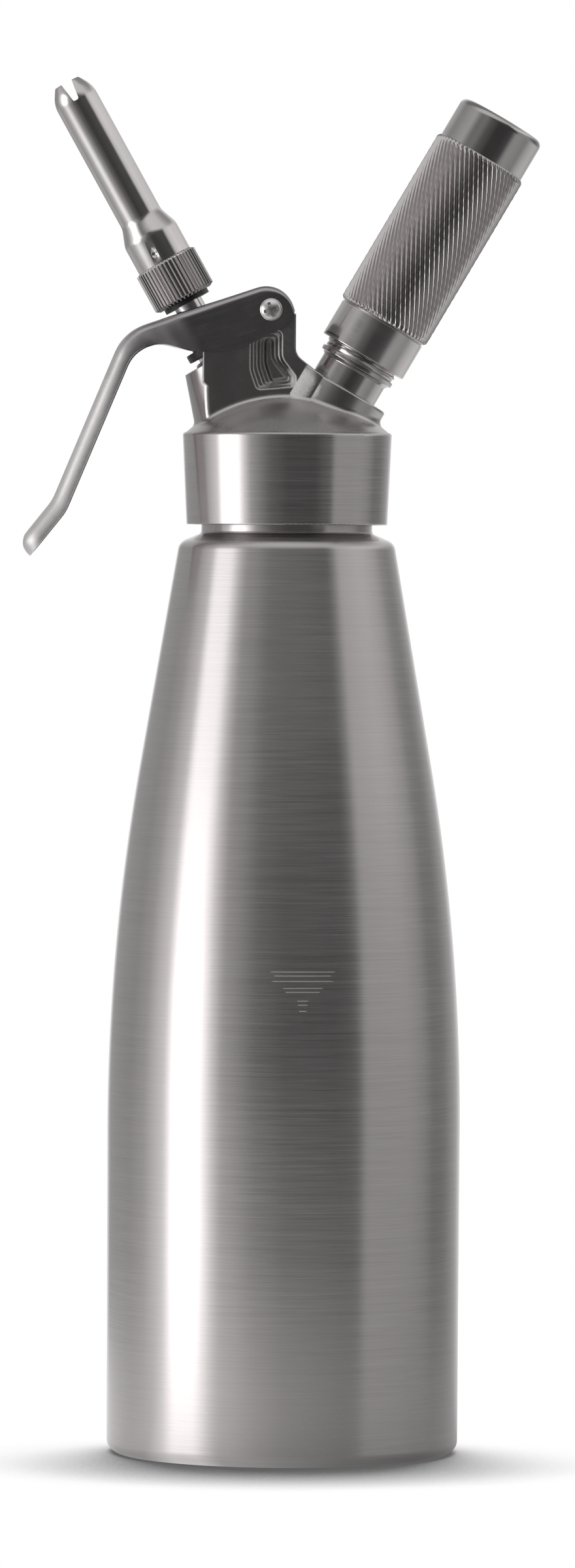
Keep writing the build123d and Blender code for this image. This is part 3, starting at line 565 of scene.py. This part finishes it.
def portBody(size):
    # a closed line turned about the holder's axis: plug, stem, ring, thread, and back down through
    # the seal's socket, the pin's hole and the gas passage
    root, ring, top, soft, bevel = size["root"], size["ring"], size["top"], size["rounding"], size["bevel"]
    ringLow, ringHigh = size["ringLow"], size["ringHigh"]
    threadLow = ringHigh + size["undercut"]
    outer = roundedLine(
        (size["pocket"], size["plugLow"]), (size["plug"], size["plugLow"], size["plugRounding"]),
        (size["plug"], size["bossTop"], size["crease"]), (size["stem"], size["bossTop"], size["crease"]),
        (size["stem"], ringLow - size["ringSlope"], size["stemRounding"]),
        (ring - size["ringSlope"], ringLow, soft), (ring, ringLow + soft, soft), (ring, ringHigh, soft),
        (root, ringHigh, soft), (root, threadLow),
    )
    thread = divided(np.array([(root, threadLow), (root, top - bevel)]), size["threadStep"])
    inner = roundedLine(
        (root, top - bevel), (root - bevel, top, bevel / 2), (size["socket"], top, soft),
        (size["socket"], size["socketFloor"]), (size["pin"], size["socketFloor"]),
        (size["pin"], size["pinLow"]), (size["passage"], size["pinLow"]),
        (size["passage"], size["pocketTop"]), (size["pocket"], size["pocketTop"]),
    )
    line = np.concatenate([outer, thread[1:-1], inner])

    def screw(angle, height, radius):
        ridge = threadRidge(angle, height, size["pitch"], ringHigh + size["fadeFrom"], top - bevel,
                            size["fade"])
        return ridge * (size["crest"] - root) * (np.abs(radius - root) < nearly)

    return gridMesh("portBody", turned(line, size["turns"], holderHub, holderAlong, screw), closedAlong=True)


addPiece("portBody", portBody(port), "head", holderPolish, "polished_steel", "charger_port")


holder = dict(
    threadBore=10.96, threadEnd=52.8, bore=9.35, low=41.6, lowRounding=0.4, collar=12.9, collarRounding=0.15,
    groove=0.45, grip=13.15, gripLow=52.8, gripHigh=106.6, gripBevel=0.25, rounding=0.1,
    spigot=11.2, spigotLow=100.6, turns=540, slip=203, step=0.6,
    ridges=54, depth=1.1, sharpness=1.5, crossShare=0.06, crossLead=0.6, fade=0.8, fadeFrom=0.2,
)


def holderBody(size):
    # a closed line turned about the holder's axis: smooth collar, groove, knurled grip, and the bore
    grip, low, high, bevel = size["grip"], size["gripLow"], size["gripHigh"], size["gripBevel"]
    ring, soft = size["collar"], size["rounding"]
    outer = roundedLine(
        (size["threadBore"], size["low"]), (ring, size["low"], size["lowRounding"]),
        (ring, low - 2 * bevel, size["collarRounding"]), (ring - size["groove"], low - bevel, soft),
        (grip - bevel, low, soft), (grip, low + bevel),
    )
    knurled = divided(np.array([(grip, low + bevel), (grip, high - bevel)]), size["step"])
    inner = roundedLine(
        (grip, high - bevel), (grip - bevel, high, soft), (size["spigot"], high),
        (size["spigot"], size["spigotLow"]), (size["bore"], size["spigotLow"]),
        (size["bore"], size["threadEnd"]), (size["threadBore"], size["threadEnd"]),
    )
    line = np.concatenate([outer, knurled[1:-1], inner])
    # the rows of the mesh wind with the ridges, by a whole number of turns up the grip, so that
    # each ridge keeps its outline
    slant = fullTurn * size["slip"] / size["turns"] / (high - low)
    past = np.arange(len(line)) >= len(outer) + len(knurled) - 2
    wound = np.where(past, high, np.clip(line[:, 1], low, high)) - low

    def knurl(angle, height, radius):
        # a power of a raised cosine: ridges that wind at the holder's own tilt, so that they stand
        # upright in front, crossed by a shallower, finer set
        upright = 0.5 + 0.5 * np.cos(size["ridges"] * (angle + (height - low) * slant))
        crossed = 0.5 + 0.5 * np.cos(2 * size["ridges"] * (angle - height * slant * size["crossLead"]))
        ridge = (1 - size["crossShare"]) * upright ** size["sharpness"] + size["crossShare"] * crossed
        ends = within(height, low + size["fadeFrom"], high - size["fadeFrom"], size["fade"])
        return ends * (ridge - 0.5) * size["depth"] * (radius > grip - nearly)

    points = turned(line, size["turns"], holderHub, holderAlong, knurl, -slant * wound)
    return gridMesh("holderBody", points, closedAlong=True, slip=size["slip"])


addPiece("holderBody", holderBody(holder), "holder", knurlSteel, "knurled_steel", "charger_holder", crease=60)


collar = dict(
    bore=4.26, low=59.05, lowBevel=(1.0, 0.8), lowRounding=0.5, high=71.3, highBevel=(0.7, 0.5),
    highRounding=0.3, radius=8.75, rounding=0.2, spigot=7.2, spigotHigh=77.3, passage=3.0, threadTop=67.6,
    ridges=42, depth=0.95, flatness=0.8, middle=0.6, step=1.0, turns=504,
    rim=(0.8, 0.1),  # how far inside the radius the ridges begin, and are full
)


def collarBody(size):
    # a closed line turned about the valve's axis: bevelled ring, spigot inside the nozzle, and bore
    low, high, radius = size["low"], size["high"], size["radius"]
    line = divided(roundedLine(
        (size["bore"], low), (radius - size["lowBevel"][0], low, size["rounding"]),
        (radius, low + size["lowBevel"][1], size["lowRounding"]),
        (radius, high - size["highBevel"][1], size["highRounding"]),
        (radius - size["highBevel"][0], high, size["rounding"]), (size["spigot"], high),
        (size["spigot"], size["spigotHigh"]), (size["passage"], size["spigotHigh"]),
        (size["passage"], size["threadTop"]), (size["bore"], size["threadTop"]),
    ), size["step"])

    def knurl(angle, height, away):
        # straight ridges along the axis, deep on the rim only: a flattened, raised cosine
        ridge = (0.5 + 0.5 * np.cos(size["ridges"] * angle)) ** size["flatness"] - size["middle"]
        return ridge * size["depth"] * easing(away, *(radius - inset for inset in size["rim"]))

    return gridMesh("collarBody", turned(line, size["turns"], hub, valveAlong, knurl), closedAlong=True)


addPiece("collarBody", collarBody(collar), "nozzle", knurlSteel, "knurled_steel", "nozzle_collar", crease=60)


lever = dict(
    slope=18.35, rise=7.1, reach=6.25, drop=2.2, strap=8.0, strapMiddle=2.3, web=41.2, bend=14.0,
    turn=48.95, handle=51.2, tipTurn=16.0, tip=16.2, tipReach=7.5, tipPower=2.8, depth=4.6, tipDepth=4.9,
    start=(0.6, -1.2), heel=(-3.1, -5.6), heelRounding=1.2, belly=(17.2, -8.6, 28.0), bellySlope=32.0,
    innerBend=10.0, roundShare=0.92,  # the most of the side that its rounding takes
    # half width, edge rounding and inward lean at places along the web's direction
    halfWidth=[(-7, 12.3), (24, 12.3), (30, 11.8), (38, 10.4), (46, 9.7), (60, 9.3), (90, 8.6)],
    rounding=[(-7, 1.9), (14, 2.2), (30, 2.6), (42, 2.2), (90, 2.2)],
    lean=[(-7, 0.0), (25, 0.0), (36, 0.2), (46, 0.42), (90, 0.45)],
    wall=1.55, stations=(14, 34, 44, 12), fan=28, flat=5, arc=11, side=6,
    slotRadius=5.1, slotRun=2.2, slotPlace=22.3, slotDeep=4, pivotHole=2.56, pivotReach=20, holePoints=48,
)


def paced(line, keys, counts):
    # points spread evenly along a polyline between its places nearest to the keys
    run = np.concatenate([[0], np.cumsum(np.linalg.norm(np.diff(line, axis=0), axis=1))])
    stops = [run[np.argmin(np.linalg.norm(line - key, axis=1))] for key in keys]
    parts = [np.linspace(*ends, count, endpoint=False) for *ends, count in zip(stops, stops[1:], counts)]
    at = np.concatenate(parts + [stops[-1:]])
    return np.stack([np.interp(at, run, line[:, 0]), np.interp(at, run, line[:, 1])], 1)


def crossing(start, way, other, otherWay):
    # where two straight lines in a plane meet
    gap = other - start
    share = (gap[0] * otherWay[1] - gap[1] * otherWay[0]) / (way[0] * otherWay[1] - way[1] * otherWay[0])
    return start + way * share


def heading(degrees):
    # the unit direction this far down from the web's own
    return np.array([math.cos(math.radians(degrees)), -math.sin(math.radians(degrees))])


def inLeverFrame(places):
    # (along the web, up from it, across) in mm, carried to the pivot's frame
    slope = math.radians(lever["slope"])
    axes = np.array([(-math.cos(slope), 0, -math.sin(slope)),
                     (-math.sin(slope), 0, math.cos(slope)), (0, 1, 0)])
    return pivot + places @ axes * mm


def leverLines(size):
    # the tray's back line and its rim line in the web's plane, as many points on each
    handleWay, tipWay = heading(size["turn"]), heading(size["turn"] - size["tipTurn"])
    bend = np.array([size["web"], size["rise"]])
    knee = bend + handleWay * size["handle"]
    tip = knee + tipWay * size["tip"]
    back = roundedLine((-size["reach"], -size["drop"]), (-size["reach"], size["rise"], size["strap"]),
                       (*bend, size["bend"]), (*knee, size["bend"]), tip)
    rimLine = knee + handleWay[::-1] * size["depth"] * (1, -1)
    rimTip = tip + tipWay[::-1] * size["tipDepth"] * (1, -1)
    rimBend = crossing(np.array(size["belly"][:2]), heading(-size["bellySlope"]), rimLine, handleWay)
    rimKnee = crossing(rimLine, handleWay, rimTip, tipWay)
    start = (size["start"][0] - size["reach"], size["start"][1] - size["drop"])
    rim = roundedLine(start, (*size["heel"], size["heelRounding"]), size["belly"],
                      (*rimBend, size["innerBend"]), (*rimKnee, size["bend"]), rimTip)
    fanCentre, rimCentre = tip - tipWay * size["tipReach"], rimTip - tipWay * size["tipReach"]
    strap = (size["strapMiddle"] - size["reach"], size["rise"] - size["strapMiddle"])
    top = paced(back, [back[0], strap, bend, knee, fanCentre], size["stations"])
    low = paced(rim, [rim[0], np.array(size["heel"]), rimBend, rimKnee, rimCentre], size["stations"])
    top[-1], low[-1] = fanCentre, rimCentre
    return top, low, tipWay


def leverSkin(size):
    # a pressed tray: half a cross section, flat, arc and straight side, is carried down one side of
    # the back line, fanned round the tip in a superellipse, and carried back up the other side; the
    # side bows inwards towards the back by its lean times the square of the height above the rim,
    # over the depth
    top, low, tipWay = leverLines(size)
    wide = np.interp(top[:, 0], *zip(*size["halfWidth"]))
    turn = np.linspace(math.pi / 2, -math.pi / 2, size["fan"] + 1)[1:-1]
    power, tipReach = size["tipPower"], size["tipReach"]
    roundness = np.abs(np.cos(turn) / tipReach) ** power + np.abs(np.sin(turn) / wide[-1]) ** power
    fanReach = roundness ** (-1 / power)
    # one row for each station: where it stands, which way it goes out, how far, and down to where
    count = len(top)
    order = np.concatenate([np.arange(count), np.full(len(turn), count - 1), np.arange(count)[::-1]])
    foot, down = top[order], (low - top)[order]
    deep = np.linalg.norm(down, axis=1)[:, None]
    down = down / deep
    outAlong = np.concatenate([np.zeros(count), np.cos(turn), np.zeros(count)])[:, None]
    outAcross = np.concatenate([np.ones(count), np.sin(turn), -np.ones(count)])[:, None]
    reach = np.concatenate([wide, fanReach, wide[::-1]])[:, None]
    rounding = np.interp(top[:, 0], *zip(*size["rounding"]))[order][:, None]
    rounding = np.minimum(rounding, size["roundShare"] * deep)
    lean = np.interp(top[:, 0], *zip(*size["lean"]))[order][:, None]
    bow = np.linspace(0, math.pi / 2, size["arc"])
    flat = np.linspace(0, 1, size["flat"], endpoint=False)
    fall = np.linspace(0, 1, size["side"] + 1)[1:]
    even = reach - rounding
    out = np.concatenate([even * flat, even + rounding * np.sin(bow), reach + 0 * fall], 1)
    sunk = np.concatenate([0 * reach * flat, rounding * (1 - np.cos(bow)),
                           rounding + (deep - rounding) * fall], 1)
    out = out - lean * (deep - sunk) ** 2 / deep * np.clip(out / even, 0, 1)
    plane = foot[:, None] + sunk[..., None] * down[:, None] + (out * outAlong)[..., None] * tipWay
    places = np.concatenate([plane, (out * outAcross)[..., None]], -1)
    index = np.arange(out.size).reshape(out.shape)
    quads = np.stack([index[:-1, :-1], index[:-1, 1:], index[1:, 1:], index[1:, :-1]], -1).reshape(-1, 4)
    return newMesh("leverTray", inLeverFrame(places), quads)


def rod(outline, axis, low, high):
    # an outline in two of the lever's directions, carried along the third from low to high, closed
    rings = np.insert(np.stack([outline, outline]), axis, [[low], [high]], axis=2)
    index = np.arange(len(outline))
    walls = np.stack([index, np.roll(index, -1), np.roll(index, -1) + len(index), index + len(index)], -1)
    return merged(newMesh("rod", inLeverFrame(rings), walls, index[None, ::-1], index[None] + len(index)))


def merged(mesh, outward=True):
    # the mesh with its doubles welded, and its faces turned outwards unless they are already
    work = bmesh.new()
    work.from_mesh(mesh)
    bmesh.ops.remove_doubles(work, verts=work.verts, dist=1e-6)
    bmesh.ops.dissolve_degenerate(work, edges=work.edges, dist=1e-7)
    if outward:
        bmesh.ops.recalc_face_normals(work, faces=work.faces)
    work.to_mesh(mesh)
    work.free()
    return mesh


def carved(name, mesh, cutters, **wall):
    # the mesh, given a wall if it is a sheet, less its cutters
    thing = linked("work", mesh)
    tools = [linked("cutter", cutter) for cutter in cutters]
    kinds = [("SOLIDIFY", dict(offset=-1, use_even_offset=True, use_rim=True, **wall))] if wall else []
    kinds += [("BOOLEAN", dict(object=tool, operation="DIFFERENCE", solver="EXACT")) for tool in tools]
    for kind, settings in kinds:
        modifier = thing.modifiers.new(kind, kind)
        for setting, value in settings.items():
            setattr(modifier, setting, value)
    made = bpy.data.meshes.new_from_object(thing.evaluated_get(bpy.context.evaluated_depsgraph_get()))
    for spare in (thing, *tools):
        bpy.data.objects.remove(spare)
    made.name = name
    return made


def leverBody(size):
    # the tray with its wall, less an upright slot through the web and the hole for the pivot
    angle = np.linspace(0, fullTurn, size["holePoints"], endpoint=False)
    circle = np.stack([np.cos(angle), np.sin(angle)], 1)
    slot = circle * size["slotRadius"]
    slot[:, 0] += np.where(slot[:, 0] > 0, 0, -size["slotRun"]) + size["slotPlace"]
    cutters = [rod(slot, 1, size["rise"] - size["slotDeep"], size["rise"] + size["slotDeep"]),
               rod(circle * size["pivotHole"], 2, -size["pivotReach"], size["pivotReach"])]
    return carved("leverBody", merged(leverSkin(size), outward=False), cutters, thickness=size["wall"] * mm)


addPiece("leverBody", leverBody(lever), "lever", pressedSteel("polishedLever"), "lever_steel", "lever")


stake = dict(place=(-37.5, -7.94, 336.4), outward=(-0.16, -0.98, -0.09), radius=1.35, sunk=0.55)


def stakedNozzle(size):
    # the nozzle's own shape with a round punch mark: a ball is taken out, whose centre stands off
    # the wall by its radius less the mark's depth
    solid = merged(frame["nodes"]["decorator_nozzle"].data.copy(), outward=False)
    solid.materials.clear()
    ball = bmesh.new()
    bmesh.ops.create_icosphere(ball, subdivisions=3, radius=size["radius"] * mm)
    centre = np.array(size["place"]) + np.array(size["outward"]) * (size["radius"] - size["sunk"])
    bmesh.ops.translate(ball, verts=ball.verts, vec=centre * mm)
    mesh = bpy.data.meshes.new("ball")
    ball.to_mesh(mesh)
    ball.free()
    return carved("stakedNozzle", solid, [mesh])


addPiece("stakedNozzle", stakedNozzle(stake), "nozzle", valvePolish, "polished_steel", "decorator_nozzle")


screwHead = dict(
    shank=1.48, inner=10.4, headLow=12.35, head=3.15, thick=1.45, dome=0.85, edge=0.4, edgePoints=7,
    armHalf=0.42, armLong=2.05, taper=0.12, deep=0.95, turn=0.35, turns=180, rows=44,
)


def pivotScrew(size):
    # a turned pan head, its dome a parabola, whose face is pressed in by a cross: each arm is a
    # soft-edged bar, and the deeper of the two counts
    bow = np.linspace(0, math.pi / 2, size["edgePoints"])
    face = size["head"] - size["edge"]
    lip = size["headLow"] + size["thick"] - size["dome"]
    radius = np.concatenate([[0, size["shank"], size["shank"], size["head"]],
                             face + size["edge"] * np.cos(bow), np.linspace(face, 0, size["rows"])[1:]])
    height = np.concatenate([np.repeat([-size["inner"], size["headLow"]], 2),
                             lip - size["edge"] + size["edge"] * np.sin(bow), np.full(size["rows"] - 1, lip)])
    onFace = np.arange(len(radius)) >= len(radius) - size["rows"] + 1
    height += onFace * size["dome"] * (1 - (radius / face) ** 2)
    angle = np.linspace(0, fullTurn, size["turns"], endpoint=False)
    x, y = radius[:, None] * np.cos(angle), radius[:, None] * np.sin(angle)
    first, second = (np.abs(x * math.cos(way) + y * math.sin(way))
                     for way in (size["turn"], size["turn"] + math.pi / 2))
    arms = [np.clip((size["armHalf"] - off) / size["taper"], 0, 1)
            * np.clip((size["armLong"] - far) / (3 * size["taper"]), 0, 1)
            for off, far in ((first, second), (second, first))]
    out = height[:, None] - size["deep"] * np.maximum(*arms) * onFace[:, None]
    # the screw's axis runs towards -Y
    return gridMesh("pivotScrew", pivot + np.stack([x, -out, y], -1) * mm)


addPiece("pivotScrew", pivotScrew(screwHead), "head", screwPolish, "polished_steel", "pivot_screw")


looks = dict(
    head=headSteel, pivot_sleeve=screwPolish, valve_stem=valvePolish,
    piercing_pin=screwPolish, charger=holderPolish, holder_cap=holderPolish,
    valve_spring=springWire, retaining_clip=springWire, push_ring=blackPlastic, stop_ring=blackPlastic,
    head_gasket=redSilicone, check_valve=redSilicone, piston_seal=blackRubber, stem_o_ring=blackRubber,
    nozzle_seal=blackRubber, port_gasket=blackRubber, port_seal=blackRubber, holder_pad=blackRubber,
)
for node, paint in looks.items():
    mesh = frame["nodes"][node].data
    mesh.materials.clear()
    mesh.materials.append(paint)
print("finishes given to", len(looks), "plain nodes")


studio = dict(
    camera=(0.0002, -2.61, 0.261), target=(0.0002, 0, 0.188), lens=213.3, roll=-0.31,
    floorRadius=0.34, floorPoints=96, floorTone=0.8, floorGrain=60, floorSpeck=1.02, floorRough=0.6,
    floorGloss=0.2, sensor=36,
    shadowSamples=16, shadowReach=0.066, shadowLean=(0, 0.92, 0.39), shadowLow=0.53, shadowHigh=0.9,
    shadowLevel=0.12, shadowMirrored=0.5,
    # the room's levels, by degrees from the camera, to its right positive: at the horizon, above
    # it, below it and overhead
    horizon=[(-180, 1.0), (-170, 0.9), (-160, 0.4), (-120, 0.36), (-104, 0.5), (-85, 1.1), (-77, 2.8),
             (-60, 2.8), (-50, 1.2), (-42, 0.5), (-20, 0.16), (0, 0.06), (30, 0.06), (50, 0.07), (56, 0.38),
             (90, 0.38), (104, 0.3), (116, 0.18), (130, 0.22), (154, 0.45), (180, 1.0)],
    upper=[(-180, 0.8), (-120, 0.4), (-84, 0.45), (-65, 0.5), (-47, 0.25), (-31, 0.25), (-16, 0.1), (0, 0.1),
           (45, 0.08), (58, 0.7), (84, 1.0), (110, 0.9), (140, 0.7), (180, 0.8)],
    lower=[(-180, 0.8), (-140, 0.6), (-107, 0.4), (-84, 0.6), (-65, 1.1), (-47, 0.6), (-31, 0.18),
           (-16, 0.15), (16, 0.13), (34, 0.13), (45, 0.45), (84, 0.33), (107, 0.6), (140, 0.8), (180, 0.8)],
    overhead=[(-180, 0.25), (-120, 0.25), (-60, 0.75), (0, 0.75), (60, 0.7), (120, 0.35), (180, 0.25)],
    # and the light painted on the table for metal to see, a pool brightest to the left, from the point where
    # its rays seem to fan out
    table=[(-180, 0.9), (-110, 0.7), (-92, 0.8), (-76, 1.6), (-62, 1.6), (-48, 0.95), (0, 0.62), (50, 0.42),
           (90, 0.3), (140, 0.4), (180, 0.9)],
    fan=(0, -0.03, 0), band=(0.12, 0.42), ceiling=(0.42, 0.75),  # heights of a unit direction
)


def levelRing(nodes, place, levels):
    # a level that follows the angle about Z; a ramp holds no more than 1, so levels go in as quarters
    angle = addMath(nodes.tree, "ARCTAN2", nodes.part(place, 0), 0 - nodes.part(place, 1))
    stops = [((angle + 180) / 360, level / 4) for angle, level in levels]
    return nodes.node("ShaderNodeValToRGB", {"stops": stops}, {"Fac": angle * (1 / fullTurn) + 0.5}) * 4


def addStudio(size):
    # the room that metal mirrors, in rings that ease into each other with height, and white to the eye
    nodes = Finish(bpy.data.worlds.new("studio"))
    bpy.context.scene.world = nodes.owner
    way = nodes.node("ShaderNodeTexCoord", out="Generated")  # in a world, the direction looked in
    z = nodes.part(way, 2)

    def rising(value, low, high):
        return nodes.node("ShaderNodeMapRange", {"interpolation_type": "SMOOTHSTEP"},
                          {"Value": value, "From Min": low, "From Max": high})

    above, below, high = rising(z, *size["band"]), rising(0 - z, *size["band"]), rising(z, *size["ceiling"])
    horizon, upper, lower, overhead = (levelRing(nodes, way, size[name])
                                       for name in ("horizon", "upper", "lower", "overhead"))
    walls = horizon * (1 - above - below) + upper * above + lower * below
    level = walls * (1 - high) + overhead * high
    seen = nodes.ray("Camera") + nodes.ray("Transmission")
    glow = nodes.node("ShaderNodeBackground", {}, {"Color": level * (1 - seen) + seen, "Strength": 1.0})
    nodes.node("ShaderNodeOutputWorld", {}, {"Surface": glow})


def addFloor(size):
    # a round table: to the eye white with a painted soft shadow, to metal a painted pool of light with half
    # of that shadow, to the rest matt
    angle = np.linspace(0, fullTurn, size["floorPoints"], endpoint=False)
    rim = np.stack([np.cos(angle), np.sin(angle), 0 * angle], 1) * size["floorRadius"]
    mesh = newMesh("tableTop", rim, np.arange(len(rim))[None])
    finish = newFinish("paleTable")
    speck = finish.cloud(size["floorGrain"], 2.0)
    byEye = finish.ray("Camera")
    byMetal = finish.ray("Glossy") * (1 - byEye)
    fanned = finish.node("ShaderNodeVectorMath", {"operation": "SUBTRACT"},
                         {0: finish.place(), 1: size["fan"]})
    # painted light: the table glows by angle round the object, brightest to the left, for metal to mirror
    sheen = levelRing(finish, fanned, size["table"])
    tone = size["floorTone"]
    matt = finish.shader(Base_Color=finish.tint(speck, (tone,) * 3, (tone * size["floorSpeck"],) * 3),
                         Roughness=size["floorRough"], Specular_IOR_Level=size["floorGloss"])
    lean = finish.node("ShaderNodeCombineXYZ", {}, dict(enumerate(size["shadowLean"])))
    openness = finish.node("ShaderNodeAmbientOcclusion", {"samples": size["shadowSamples"]},
                           {"Distance": size["shadowReach"], "Normal": lean}, out="AO")
    shade = finish.spread(openness, size["shadowLow"], size["shadowHigh"], size["shadowLevel"], 1)
    mirrored = sheen * (shade * size["shadowMirrored"] + (1 - size["shadowMirrored"]))
    # the glow paints the shadow for the eye, and for metal the painted pool of light with half of that shadow
    glow = finish.node("ShaderNodeEmission", {}, {"Color": byEye * shade + byMetal * mirrored})
    mixed = finish.node("ShaderNodeMixShader", {}, {0: byEye + byMetal, 1: matt, 2: glow})
    mesh.materials.append(finish.done(mixed))
    linked("tableTop", mesh)


def addCamera(size):
    camera = linked("camera", bpy.data.cameras.new("camera"))
    camera.data.sensor_width = size["sensor"]
    camera.data.lens = size["lens"]
    camera.location = size["camera"]
    drop = math.atan2(size["camera"][2] - size["target"][2], size["target"][1] - size["camera"][1])
    camera.rotation_euler = (math.pi / 2 - drop, math.radians(size["roll"]), 0)
    bpy.context.scene.camera = camera


addStudio(studio)
addFloor(studio)
addCamera(studio)
bpy.context.scene.view_settings.view_transform = "Standard"
print("room, table and camera made")
